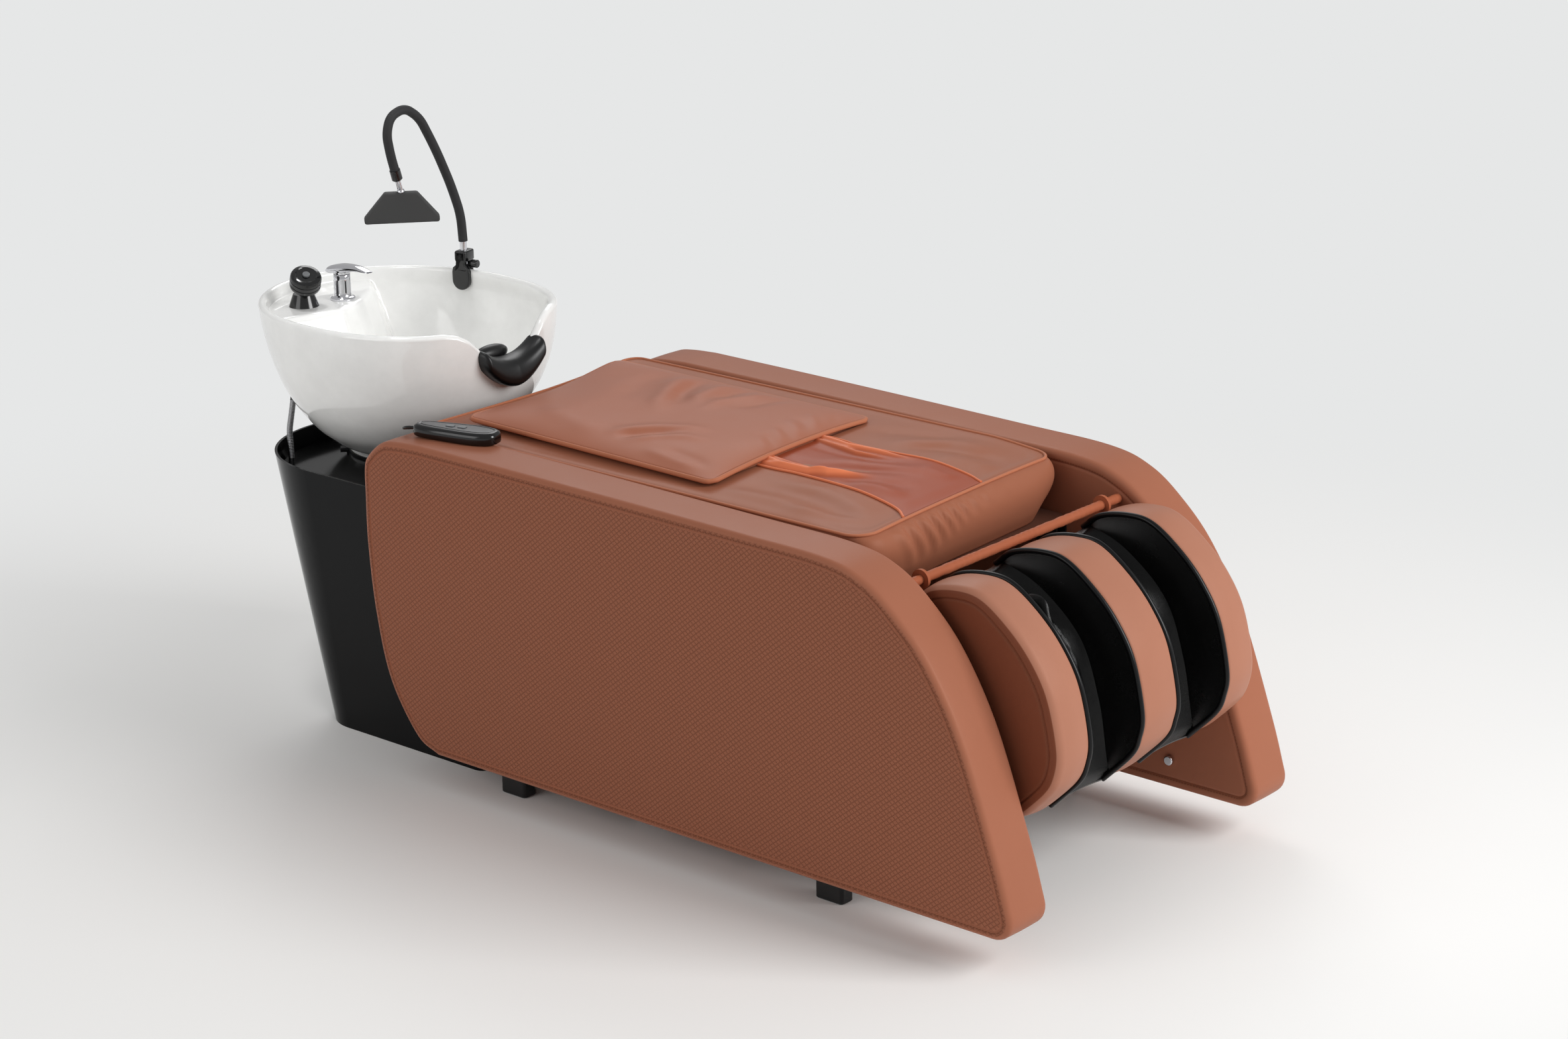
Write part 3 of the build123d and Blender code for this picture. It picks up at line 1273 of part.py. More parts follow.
with BuildPart() as water_inlets:
    with Locations((stand_post_x + stand_post / 2, 0, inlet_height)):
        Box(inlet_plate, 2 * stand_post_y, 3 * inlet_length,
            align=(Align.MIN, Align.CENTER, Align.MIN))
    with Locations((stand_post_x + stand_post / 2 + 2 * inlet_radius, 0, inlet_height)):
        Box(4 * inlet_radius, 2 * stand_post_y, inlet_plate, align=(Align.CENTER, Align.CENTER, Align.MIN))
    with BuildSketch(Plane.XY.offset(inlet_height)):
        with Locations(*[(stand_post_x + stand_post / 2 + 2 * inlet_radius, side * inlet_spacing / 2)
                         for side in (-1, 1)]):
            Circle(inlet_radius)
    extrude(amount=-inlet_length)

pieces = {
    "right_panel": right_panel, "left_panel": left_panel, "right_outer_cover": right_outer_cover,
    "left_outer_cover": left_outer_cover, "feet": feet, "side_rails": side_rails,
    "frame_members": frame_members,
    "seat_board": seat_board, "seat_cushion": seat_cushion, "centre_panel": centre_panel,
    "back_pad": back_pad, "front_bar": front_bar, "panel_bolts": panel_bolts, "right_rib": right_rib,
    "left_rib": left_rib, "centre_rib": centre_rib, "leg_core": leg_core,
    "right_well_liner": right_well_liner, "left_well_liner": left_well_liner, "leg_frame": leg_frame,
    "actuator_bracket": actuator_bracket, "actuator_body": actuator_body, "actuator_rod": actuator_rod,
    "massage_rails": massage_rails, "drive_motor": drive_motor, "lead_screw": lead_screw,
    "massage_carriage": massage_carriage, "massage_rollers": massage_rollers, "control_box": control_box,
    "pedestal_shell": pedestal_shell, "pedestal_deck": pedestal_deck, "basin_stand": basin_stand,
    "basin": basin, "drain_flange": drain_flange, "basin_gasket": basin_gasket,
    "basin_brackets": basin_brackets, "neck_rest": neck_rest,
    "mixer_body": mixer_body, "mixer_cap": mixer_cap, "mixer_lever": mixer_lever,
    "shower_holder": shower_holder, "hand_shower": hand_shower, "shower_button": shower_button,
    "shower_hose": shower_hose, "arm_clamp": arm_clamp, "clamp_knob": clamp_knob,
    "clamp_screw": clamp_screw, "arm_stem": arm_stem, "arm_sleeve": arm_sleeve, "arm_tip": arm_tip,
    "head_neck": head_neck, "spray_head": spray_head, "nozzle_plate": nozzle_plate,
    "handset_body": handset_body, "handset_power_key": handset_power_key,
    "handset_lift_key": handset_lift_key, "handset_cable": handset_cable,
    "cable_grommet": cable_grommet, "waste_trap": waste_trap, "water_inlets": water_inlets,
}
os.makedirs("parts", exist_ok=True)
for name, piece in pieces.items():
    piece.part.label = name
    export_step(piece.part, f"parts/{name}.step")
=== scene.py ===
"""Studio scene of the hair washing bed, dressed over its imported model."""
from __future__ import annotations

import logging
import math
from dataclasses import dataclass, field, replace
from enum import Enum
from typing import Callable, Iterable, Sequence

import bpy
from mathutils import Matrix, Vector

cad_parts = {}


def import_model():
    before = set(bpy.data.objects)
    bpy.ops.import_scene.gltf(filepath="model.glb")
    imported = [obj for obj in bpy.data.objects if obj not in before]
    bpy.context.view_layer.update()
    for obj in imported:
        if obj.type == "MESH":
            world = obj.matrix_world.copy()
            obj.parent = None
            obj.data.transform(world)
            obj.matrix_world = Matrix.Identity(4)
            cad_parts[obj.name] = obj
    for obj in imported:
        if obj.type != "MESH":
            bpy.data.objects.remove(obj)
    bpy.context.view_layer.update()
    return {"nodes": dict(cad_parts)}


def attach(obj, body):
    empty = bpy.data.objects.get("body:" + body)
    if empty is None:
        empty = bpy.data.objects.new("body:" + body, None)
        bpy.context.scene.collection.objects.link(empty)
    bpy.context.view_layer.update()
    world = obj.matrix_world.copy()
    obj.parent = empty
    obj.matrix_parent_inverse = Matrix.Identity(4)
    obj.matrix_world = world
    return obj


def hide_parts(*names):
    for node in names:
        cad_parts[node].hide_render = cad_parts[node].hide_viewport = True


LOG = logging.getLogger("hair_washing_bed")
Point2 = tuple[float, float]
Point3 = tuple[float, float, float]
Colour = tuple[float, float, float, float]
SIDES = ((-1, "right"), (1, "left"))


def rgb(red: float, green: float, blue: float) -> Colour:
    """Turn a display colour of 0 to 255 into the shader's linear colour.

    Args:
        red: red share of 255.
        green: green share of 255.
        blue: blue share of 255.

    Returns:
        The linear colour with full alpha.
    """
    values = [v / 255 for v in (red, green, blue)]
    linear = [v / 12.92 if v <= 0.04045 else ((v + 0.055) / 1.055) ** 2.4 for v in values]
    return (linear[0], linear[1], linear[2], 1.0)


def toned(colour: Colour, gain: float, lift: float = 0.0) -> Colour:
    """Make a linear colour lighter or darker, up to white."""
    red, green, blue = (min(1.0, v * gain + lift) for v in colour[:3])
    return (red, green, blue, 1.0)


def squared_round(turn: float, along: float, across: float) -> Point2:
    """Place on a unit ring, which powers below 1 square off.

    Args:
        turn: the angle in radians.
        along: power of the first share.
        across: power of the second share.

    Returns:
        Both shares, from -1 to 1.
    """
    first, second = math.cos(turn), math.sin(turn)
    return math.copysign(abs(first) ** along, first), math.copysign(abs(second) ** across, second)


def smooth_step(low: float, high: float, value: float) -> float:
    """Rise smoothly from 0 at low to 1 at high."""
    share = min(1.0, max(0.0, (value - low) / (high - low)))
    return share * share * (3 - 2 * share)


def through(points: Sequence[Point2], steps: int = 16) -> list[Vector]:
    """Sample a smooth line through points.

    Args:
        points: the places it passes through.
        steps: samples between two places.

    Returns:
        The sampled places, both ends included.
    """
    ends = [2 * Vector(points[0]) - Vector(points[1]), 2 * Vector(points[-1]) - Vector(points[-2])]
    walk = [ends[0], *map(Vector, points), ends[1]]
    line = []
    for a, b, c, d in zip(walk, walk[1:], walk[2:], walk[3:]):
        for step in range(steps):
            t = step / steps
            line.append(0.5 * (2 * b + (c - a) * t + (2 * a - 5 * b + 4 * c - d) * t * t
                               + (3 * b - a - 3 * c + d) * t * t * t))
    line.append(Vector(points[-1]))
    return line


def even(points: Sequence[Vector], count: int, closed: bool = True) -> list[Vector]:
    """Space a line's points evenly along its length.

    Args:
        points: the line.
        count: how many points come back.
        closed: whether the last point joins the first.

    Returns:
        The evenly spaced points.
    """
    walk = list(points) + ([points[0]] if closed else [])
    lengths = [0.0]
    for a, b in zip(walk, walk[1:]):
        lengths.append(lengths[-1] + (b - a).length)
    spots, at = [], 0
    for step in range(count):
        want = lengths[-1] * step / (count if closed else count - 1)
        while at < len(walk) - 2 and lengths[at + 1] < want:
            at += 1
        span = max(1e-9, lengths[at + 1] - lengths[at])
        spots.append(walk[at].lerp(walk[at + 1], min(1.0, (want - lengths[at]) / span)))
    return spots


def inward(outline: Sequence[Vector]) -> list[Vector]:
    """Unit normals of a closed flat outline, pointing into it."""
    area = sum(a.x * b.y - b.x * a.y for a, b in zip(outline, [*outline[1:], outline[0]]))
    turn = 1 if area > 0 else -1
    normals = []
    for at in range(len(outline)):
        run = (outline[(at + 1) % len(outline)] - outline[at - 1]).normalized()
        normals.append(Vector((-run.y, run.x)) * turn)
    return normals


def eased(outline: Sequence[Vector], rounds: int) -> list[Vector]:
    """Round the corners of a closed outline.

    Args:
        outline: its evenly spaced points.
        rounds: how often each point moves halfway to its neighbours' middle.

    Returns:
        The rounded outline.
    """
    line = list(outline)
    for _ in range(rounds):
        line = [(line[at - 1] + line[(at + 1) % len(line)]) / 4 + line[at] / 2 for at in range(len(line))]
    return line


def table(places: Sequence[float], values: Sequence[float], at: float) -> float:
    """Read a table of values at a place between its own.

    Args:
        places: the table's places, rising.
        values: its value at each place.
        at: the place that is read.

    Returns:
        The value, held level beyond both ends.
    """
    for low, high, first, last in zip(places, places[1:], values, values[1:]):
        if at <= high:
            return first + (last - first) * max(0.0, at - low) / (high - low)
    return values[-1]


@dataclass(frozen=True)
class Fold:
    """A soft ridge or crease in a cover, along a line of places."""

    points: tuple[Point2, ...]
    width: float
    height: float

    def lift(self, x: float, y: float) -> float:
        """Height that the fold adds at a place of the cover, fading out at both ends."""
        total = sum(math.dist(a, b) for a, b in zip(self.points, self.points[1:]))
        walked, near, share = 0.0, math.inf, 0.0
        for (x0, y0), (x1, y1) in zip(self.points, self.points[1:]):
            length = math.dist((x0, y0), (x1, y1))
            along = ((x - x0) * (x1 - x0) + (y - y0) * (y1 - y0)) / length ** 2
            along = min(1.0, max(0.0, along))
            away = math.dist((x, y), (x0 + (x1 - x0) * along, y0 + (y1 - y0) * along))
            if away < near:
                near, share = away, (walked + along * length) / total
            walked += length
        if near > 3 * self.width:
            return 0.0
        taper = smooth_step(0.0, 0.3, share) * (1 - smooth_step(0.65, 1.0, share))
        return self.height * math.exp(-(near / self.width) ** 2) * taper


def fold_lift(folds: Iterable[Fold], x: float, y: float) -> float:
    """Height that all of a cover's folds add at a place."""
    return sum(fold.lift(x, y) for fold in folds)


class Bench:
    """Work bench: adds, shapes and hands over pieces with Blender's own tools."""

    @staticmethod
    def clear() -> None:
        """Deselect everything in object mode."""
        if bpy.context.object and bpy.context.object.mode != "OBJECT":
            bpy.ops.object.mode_set(mode="OBJECT")
        bpy.ops.object.select_all(action="DESELECT")

    @staticmethod
    def pick(obj: bpy.types.Object) -> None:
        """Make one object the only selected and active one."""
        Bench.clear()
        obj.select_set(True)
        bpy.context.view_layer.objects.active = obj

    @staticmethod
    def put(name: str, data: bpy.types.ID) -> bpy.types.Object:
        """Put a new object with its data into the scene."""
        obj = bpy.data.objects.new(name, data)
        bpy.context.collection.objects.link(obj)
        return obj

    @staticmethod
    def settle(obj: bpy.types.Object) -> None:
        """Move an object's place, turn and size into its mesh."""
        Bench.pick(obj)
        bpy.ops.object.transform_apply(location=True, rotation=True, scale=True)

    @staticmethod
    def modify(obj: bpy.types.Object, kind: str, **settings: object) -> None:
        """Add a modifier with its settings and apply it.

        Args:
            obj: the object.
            kind: the modifier's type.
            **settings: its settings by name.
        """
        Bench.pick(obj)
        modifier = obj.modifiers.new(kind.lower(), kind)
        for name, value in settings.items():
            setattr(modifier, name, value)
        bpy.ops.object.modifier_apply(modifier=modifier.name)

    @staticmethod
    def woven(name: str, columns: int, rows: int, place: Callable[[float, float], Vector],
              closed: bool = True, span: Point2 = (1.0, 1.0)) -> bpy.types.Object:
        """Shape a fine grid into a surface, with its map in metres.

        Args:
            name: the piece's name.
            columns: squares along the first share.
            rows: squares along the second share.
            place: gives the place of each pair of shares from 0 to 1.
            closed: whether the first share runs round and both ends are filled.
            span: the surface's two lengths in metres, for its map.

        Returns:
            The shaped object.
        """
        Bench.clear()
        bpy.ops.mesh.primitive_grid_add(x_subdivisions=columns, y_subdivisions=rows, size=1)
        obj = bpy.context.object
        obj.name = obj.data.name = name
        for vertex in obj.data.vertices:
            vertex.co = place(vertex.co.x + 0.5, vertex.co.y + 0.5)
        for loop in obj.data.uv_layers.active.data:
            loop.uv = (loop.uv[0] * span[0], loop.uv[1] * span[1])
        bpy.ops.object.mode_set(mode="EDIT")
        bpy.ops.mesh.select_all(action="SELECT")
        if closed:
            bpy.ops.mesh.remove_doubles(threshold=1e-6)
            bpy.ops.mesh.select_all(action="SELECT")
            bpy.ops.mesh.fill_holes(sides=0)
        bpy.ops.mesh.select_all(action="SELECT")
        bpy.ops.mesh.normals_make_consistent(inside=False)
        bpy.ops.object.mode_set(mode="OBJECT")
        return obj

    @staticmethod
    def curve(name: str, points: Sequence[Sequence[float]], kind: str = "POLY", closed: bool = False,
              **settings: object) -> bpy.types.Object:
        """Lay a curve along points.

        Args:
            name: its name.
            points: the places it follows.
            kind: POLY for straight runs or NURBS for a smooth line.
            closed: whether it is a ring.
            **settings: the curve's settings by name.

        Returns:
            The curve.
        """
        data = bpy.data.curves.new(name, "CURVE")
        data.dimensions = "3D"
        for label, value in settings.items():
            setattr(data, label, value)
        spline = data.splines.new(kind)
        spline.points.add(len(points) - 1)
        for spot, point in zip(spline.points, points):
            spot.co = (*point, 1)
        if kind == "NURBS":
            spline.order_u = 3
            spline.use_endpoint_u = True
        spline.use_cyclic_u = closed
        return Bench.put(name, data)

    @staticmethod
    def piping(name: str, points: Sequence[Vector], radius: float, closed: bool = False,
               sides: int = 3) -> bpy.types.Object:
        """Make a round cord of cover cloth along a line.

        Args:
            name: the piece's name.
            points: the line it follows.
            radius: its radius.
            closed: whether it is a ring.
            sides: half of the cord's corners, less one.

        Returns:
            The cord as a mesh.
        """
        Bench.clear()
        Bench.pick(Bench.curve(name, points, closed=closed, bevel_depth=radius, bevel_resolution=sides,
                               use_fill_caps=True))
        bpy.ops.object.convert(target="MESH")
        return bpy.context.object

    @staticmethod
    def turned(name: str, profile: Sequence[Point2], at: Point3, sides: int,
               axis: Point3 = (0.0, 0.0, 1.0)) -> bpy.types.Object:
        """Turn a profile about an axis, as on a lathe.

        Args:
            name: the piece's name.
            profile: pairs of radius and height along the axis.
            at: where the axis starts.
            sides: corners of the round.
            axis: its direction.

        Returns:
            The turned object.
        """
        rows = len(profile) - 1

        def place(u: float, v: float) -> Vector:
            radius, height = profile[min(rows, round(v * rows))]
            return Vector((radius * math.cos(2 * math.pi * u), radius * math.sin(2 * math.pi * u), height))

        obj = Bench.woven(name, sides, rows, place)
        turn = Vector((0, 0, 1)).rotation_difference(Vector(axis).normalized()).to_matrix().to_4x4()
        obj.matrix_world = Matrix.Translation(at) @ turn
        Bench.settle(obj)
        return obj

    @staticmethod
    def block(name: str, size: Point3, at: Point3, bevel: float) -> bpy.types.Object:
        """Add a box with rounded edges.

        Args:
            name: the piece's name.
            size: its three lengths.
            at: its centre.
            bevel: the radius of its edges.

        Returns:
            The box.
        """
        Bench.clear()
        bpy.ops.mesh.primitive_cube_add(size=1)
        obj = bpy.context.object
        obj.name = obj.data.name = name
        obj.scale = size
        Bench.settle(obj)
        Bench.modify(obj, "BEVEL", width=bevel, segments=3, limit_method="ANGLE")
        obj.location = at
        Bench.settle(obj)
        return obj

    @staticmethod
    def recast(name: str, node: bpy.types.Object, grain: float, rounds: int) -> bpy.types.Object:
        """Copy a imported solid, remesh it and soften its edges.

        Args:
            name: the piece's name.
            node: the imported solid.
            grain: size of the new faces.
            rounds: rounds of softening.

        Returns:
            The softened copy.
        """
        obj = node.copy()
        obj.data = node.data.copy()
        obj.parent = None
        bpy.context.collection.objects.link(obj)
        for key in list(obj.keys()):
            del obj[key]
        Bench.pick(obj)
        obj.name = obj.data.name = name
        bpy.ops.object.mode_set(mode="EDIT")
        bpy.ops.mesh.select_all(action="SELECT")
        bpy.ops.mesh.remove_doubles(threshold=1e-5)
        bpy.ops.object.mode_set(mode="OBJECT")
        Bench.modify(obj, "REMESH", mode="VOXEL", voxel_size=grain)
        Bench.modify(obj, "SMOOTH", factor=0.5, iterations=rounds)
        return obj

    @staticmethod
    def join(name: str, parts: Sequence[bpy.types.Object]) -> bpy.types.Object:
        """Join several meshes into one piece."""
        Bench.clear()
        for part in parts:
            part.select_set(True)
        bpy.context.view_layer.objects.active = parts[0]
        bpy.ops.object.join()
        obj = bpy.context.object
        obj.name = obj.data.name = name
        return obj

    @staticmethod
    def hand_over(obj: bpy.types.Object, body: str, slot: str, material: bpy.types.Material,
                  replaces: Sequence[str] = (), angle: float | None = None) -> None:
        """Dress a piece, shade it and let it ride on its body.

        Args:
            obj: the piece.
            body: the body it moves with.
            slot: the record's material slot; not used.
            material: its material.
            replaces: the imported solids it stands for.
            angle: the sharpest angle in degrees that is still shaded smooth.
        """
        if not obj.data.materials:
            obj.data.materials.append(material)
        Bench.pick(obj)
        if angle is None:
            bpy.ops.object.shade_smooth()
        else:
            bpy.ops.object.shade_smooth_by_angle(angle=math.radians(angle))
        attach(obj, body)
        if replaces:
            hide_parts(*replaces)
        LOG.info("made %s with %d faces", obj.name, len(obj.data.polygons))


class Sockets:
    """Short way to place and link shader nodes in one tree."""

    def __init__(self, tree: bpy.types.NodeTree) -> None:
        """Keep the tree that nodes go into."""
        self.tree = tree

    def add(self, kind: str, inputs: dict[object, object] | None = None, **settings: object) -> bpy.types.Node:
        """Add a node, set its values and link its inputs.

        Args:
            kind: the node's type.
            inputs: values or output sockets, by input name or number.
            **settings: the node's own settings.

        Returns:
            The node.
        """
        node = self.tree.nodes.new(kind)
        for name, value in settings.items():
            setattr(node, name, value)
        return self.feed(node, inputs or {})

    def feed(self, node: bpy.types.Node, inputs: dict[object, object]) -> bpy.types.Node:
        """Set a node's values and link its inputs.

        Args:
            node: the node.
            inputs: values or output sockets, by input name or number.

        Returns:
            The node.
        """
        for key, value in inputs.items():
            if isinstance(value, bpy.types.NodeSocket):
                self.tree.links.new(value, node.inputs[key])
            else:
                node.inputs[key].default_value = value
        return node

    def bump(self, strength: float, distance: float, height: bpy.types.NodeSocket) -> bpy.types.NodeSocket:
        """Turn a height into a normal."""
        given = {"Strength": strength, "Distance": distance, "Height": height}
        return self.add("ShaderNodeBump", given).outputs[0]

    def effect(self, group: bpy.types.NodeTree, *values: object) -> Sequence[bpy.types.NodeSocket]:
        """Use a shared effect.

        Args:
            group: its node group.
            *values: its inputs in their order, or fewer.

        Returns:
            Its outputs.
        """
        return self.add("ShaderNodeGroup", dict(enumerate(values)), node_tree=group).outputs

    def work(self, operation: str, *values: object, clamp: bool = False) -> bpy.types.NodeSocket:
        """Work out one value from others.

        Args:
            operation: the math node's operation.
            *values: numbers or sockets.
            clamp: whether the result stays from 0 to 1.

        Returns:
            The result's socket.
        """
        node = self.add("ShaderNodeMath", dict(enumerate(values)), operation=operation, use_clamp=clamp)
        return node.outputs[0]

    def blend(self, share: object, first: object, second: object) -> bpy.types.NodeSocket:
        """Mix two colours by a share."""
        node = self.add("ShaderNodeMix", {0: share, 6: first, 7: second}, data_type="RGBA")
        return node.outputs[2]


class Effects:
    """Shared effects, each a node group that is made once."""

    def __init__(self) -> None:
        """Make every group."""
        self.grain = self._grain()
        self.diamond = self._diamond()
        self.stitch = self._stitch()
        self.weave = self._weave()
        self.dust = self._dust()

    @staticmethod
    def _group(name: str, inputs: dict[str, float | None],
               outputs: Sequence[str]) -> tuple[Sockets, Sequence[bpy.types.NodeSocket], bpy.types.Node]:
        """Start a group with its sockets.

        Args:
            name: the group's name.
            inputs: default of each input by name, or None for a vector.
            outputs: names of its value outputs.

        Returns:
            The tree's helper, the group's given values and its output node.
        """
        tree = bpy.data.node_groups.new(name, "ShaderNodeTree")
        for label, default in inputs.items():
            kind = "NodeSocketVector" if default is None else "NodeSocketFloat"
            socket = tree.interface.new_socket(label, in_out="INPUT", socket_type=kind)
            if default is not None:
                socket.default_value = default
        for label in outputs:
            tree.interface.new_socket(label, in_out="OUTPUT", socket_type="NodeSocketFloat")
        helper = Sockets(tree)
        return helper, helper.add("NodeGroupInput").outputs, helper.add("NodeGroupOutput")

    def _grain(self) -> bpy.types.NodeTree:
        """Pebbled grain of leather, with a soft mottle for its colour."""
        s, given, end = self._group("leather_grain", {"Vector": None, "Pebbles": 900.0}, ("Height", "Mottle"))
        pebbles = s.add("ShaderNodeTexVoronoi", {"Vector": given[0], "Scale": given[1], "Randomness": 0.9},
                        feature="SMOOTH_F1")
        pores = s.add("ShaderNodeTexNoise", {"Vector": given[0], "Scale": 260.0, "Detail": 5.0})
        mottle = s.add("ShaderNodeTexNoise", {"Vector": given[0], "Scale": 9.0, "Detail": 6.0, "Roughness": 0.6})
        height = s.work("ADD", s.work("MULTIPLY", pebbles.outputs[0], -0.6),
                       s.work("MULTIPLY", pores.outputs[0], 0.5))
        s.feed(end, {0: height, 1: mottle.outputs[0]})
        return s.tree

    def _diamond(self) -> bpy.types.NodeTree:
        """Embossed diamond lines on an upright face, from its length and height."""
        s, given, end = self._group("diamond_emboss", {"Vector": None, "Pitch": 0.012}, ("Height",))
        parts = s.add("ShaderNodeSeparateXYZ", {0: given[0]})
        lines = []
        for sign in ("ADD", "SUBTRACT"):
            run = s.work(sign, parts.outputs[0], s.work("MULTIPLY", parts.outputs[2], 1.25))
            turn = s.work("FRACT", s.work("DIVIDE", run, given[1]))
            away = s.work("ABSOLUTE", s.work("SUBTRACT", turn, 0.5))
            lines.append(s.work("SUBTRACT", 1.0, s.work("MULTIPLY", away, 5.5), clamp=True))
        s.feed(end, {0: s.work("MAXIMUM", *lines)})
        return s.tree

    def _stitch(self) -> bpy.types.NodeTree:
        """Row of stitches at one place of a piece's own map."""
        s, given, end = self._group("stitch_row", {"Map": None, "Place": 0.0, "Width": 0.0012, "Pitch": 0.006},
                                    ("Thread", "Furrow"))
        parts = s.add("ShaderNodeSeparateXYZ", {0: given[0]})
        away = s.work("ABSOLUTE", s.work("SUBTRACT", parts.outputs[1], given[1]))
        line = s.work("LESS_THAN", away, given[2])
        turn = s.work("FRACT", s.work("DIVIDE", parts.outputs[0], given[3]))
        thread = s.work("MULTIPLY", line, s.work("LESS_THAN", turn, 0.68))
        reach = s.work("MULTIPLY", given[2], 4.0)
        s.feed(end, {0: thread, 1: s.work("SUBTRACT", 1.0, s.work("DIVIDE", away, reach), clamp=True)})
        return s.tree

    def _weave(self) -> bpy.types.NodeTree:
        """Fine twill of satin cloth."""
        s, given, end = self._group("satin_weave", {"Vector": None, "Threads": 1400.0}, ("Height",))
        wave = s.add("ShaderNodeTexWave", {"Vector": given[0], "Scale": given[1], "Distortion": 0.4},
                     bands_direction="DIAGONAL")
        s.feed(end, {0: wave.outputs[1]})
        return s.tree

    def _dust(self) -> bpy.types.NodeTree:
        """Faint smears that break up a polish."""
        s, given, end = self._group("dust", {"Vector": None, "Size": 14.0}, ("Smear",))
        smear = s.add("ShaderNodeTexNoise", {"Vector": given[0], "Scale": given[1], "Detail": 7.0,
                                             "Roughness": 0.65})
        s.feed(end, {0: smear.outputs[0]})
        return s.tree


class Cover(Enum):
    """What a leather cover carries besides its grain."""

    PLAIN = "plain"
    EMBOSSED = "embossed"
    # painted highlight on the crests of folds
    CRESTED = "painted_crest_highlight"


@dataclass(frozen=True)
class Leather:
    """Leather finish with grain, soft mottle, stitch rows, and either an emboss with an outer-face tone, which on the
    rib sides is painted shade, or a painted highlight on fold crests.
    """

    name: str
    colour: Colour
    deep: Colour
    roughness: float = 0.42
    cover: Cover = Cover.PLAIN
    # second: with an emboss, the outer side faces' tone, which on the rib sides is painted shade; on folds, the colour
    # of the painted crest highlight
    second: Colour = rgb(150, 92, 68)
    stitches: tuple[float, ...] = ()
    thread: Colour = rgb(118, 68, 48)
    emboss: float = 0.0008
    lines: float = 0.75
    side_from: float = 0.3988
    grain_depth: float = 0.00012
    thread_height: float = 0.0003
    sheen: float = 0.11
    sheen_tint: Colour = (1.0, 0.74, 0.62, 1.0)

    def make(self, effects: Effects) -> bpy.types.Material:
        """Build the material from the shared effects."""
        material, s, shader, place = start_material(self.name)
        pebbles, mottle = s.effect(effects.grain, place["Object"])
        colour = s.blend(s.work("MULTIPLY_ADD", mottle, 0.5, 0.25, clamp=True), self.deep, self.colour)
        height = s.work("MULTIPLY", pebbles, self.grain_depth)
        if self.cover is Cover.EMBOSSED:
            diamond = s.effect(effects.diamond, place["Object"])[0]
            parts = s.add("ShaderNodeSeparateXYZ", {0: place["Object"]})
            side = s.work("MULTIPLY_ADD", s.work("ABSOLUTE", parts.outputs[1]), 1200.0, -1200 * self.side_from,
                         clamp=True)
            lines = s.work("MULTIPLY", diamond, side)
            height = s.work("SUBTRACT", height, s.work("MULTIPLY", lines, self.emboss))
            # outer side faces blend toward the second tone: a darker face tone on the panels, painted shade on the rib
            # sides
            colour = s.blend(s.work("MULTIPLY", side, 0.85), colour, self.second)
            colour = s.blend(s.work("MULTIPLY", lines, self.lines), colour, self.thread)
        if self.cover is Cover.CRESTED:
            # painted highlight: fold crests, marked by a point attribute, blend toward the bright second colour
            painted_highlight = s.add("ShaderNodeAttribute", attribute_name="painted_highlight")
            colour = s.blend(painted_highlight.outputs["Fac"], colour, self.second)
        for row in self.stitches:
            thread, furrow = s.effect(effects.stitch, place["UV"], row)
            colour = s.blend(s.work("MULTIPLY", furrow, 0.35), colour, self.thread)
            colour = s.blend(s.work("MULTIPLY", thread, 0.75), colour, self.thread)
            height = s.work("ADD", height, s.work("MULTIPLY", thread, self.thread_height))
        s.feed(shader, {"Base Color": colour, "Roughness": s.work("MULTIPLY_ADD", mottle, 0.16, self.roughness - 0.08),
                        "Normal": s.bump(0.9, 1.0, height), "Specular IOR Level": self.sheen,
                        "Specular Tint": self.sheen_tint})
        return material


@dataclass(frozen=True)
class Polish:
    """Smooth or moulded finish with faint smears and a fine texture."""

    name: str
    colour: Colour
    roughness: float
    metallic: float = 0.0
    coat: float = 0.0
    texture: float = 0.0
    texture_size: float = 900.0
    spread: float = 0.05
    specular: float = 0.5
    top: Colour | None = None

    def make(self, effects: Effects) -> bpy.types.Material:
        """Build the material from the shared effects."""
        material, s, shader, place = start_material(self.name)
        smear = s.effect(effects.dust, place["Object"])[0]
        rough = s.work("MULTIPLY_ADD", smear, self.spread, max(0.0, self.roughness - self.spread / 2))
        share = s.work("MULTIPLY_ADD", smear, 1.8, -0.6, clamp=True)
        colour = s.blend(share, self.colour, toned(self.colour, 1.12, 0.001))
        if self.top:
            parts = s.add("ShaderNodeSeparateXYZ", {0: place["Normal"]})
            upward = s.work("MULTIPLY_ADD", parts.outputs[2], 9.0, -8.0, clamp=True)
            colour = s.blend(upward, colour, self.top)
            rough = s.work("MULTIPLY_ADD", upward, 0.25, rough)
        if self.texture:
            grit = s.add("ShaderNodeTexNoise", {"Vector": place["Object"], "Scale": self.texture_size, "Detail": 3.0})
            s.feed(shader, {"Normal": s.bump(0.8, self.texture, grit.outputs[0])})
        s.feed(shader, {"Base Color": colour, "Roughness": rough, "Metallic": self.metallic,
                        "Coat Weight": self.coat, "Coat Roughness": 0.03, "Specular IOR Level": self.specular})
        return material


@dataclass(frozen=True)
class Satin:
    """Satin cloth with a fine twill."""

    name: str
    colour: Colour
    roughness: float = 0.4

    def make(self, effects: Effects) -> bpy.types.Material:
        """Build the material from the shared effects."""
        material, s, shader, place = start_material(self.name)
        twill = s.effect(effects.weave, place["Object"])[0]
        smear = s.effect(effects.dust, place["Object"])[0]
        colour = s.blend(s.work("MULTIPLY", twill, smear), self.colour, toned(self.colour, 1.6, 0.0006))
        s.feed(shader, {"Base Color": colour, "Normal": s.bump(0.5, 0.00012, twill),
                        "Roughness": s.work("MULTIPLY_ADD", smear, 0.14, self.roughness - 0.07),
                        "Specular IOR Level": 0.4})
        return material


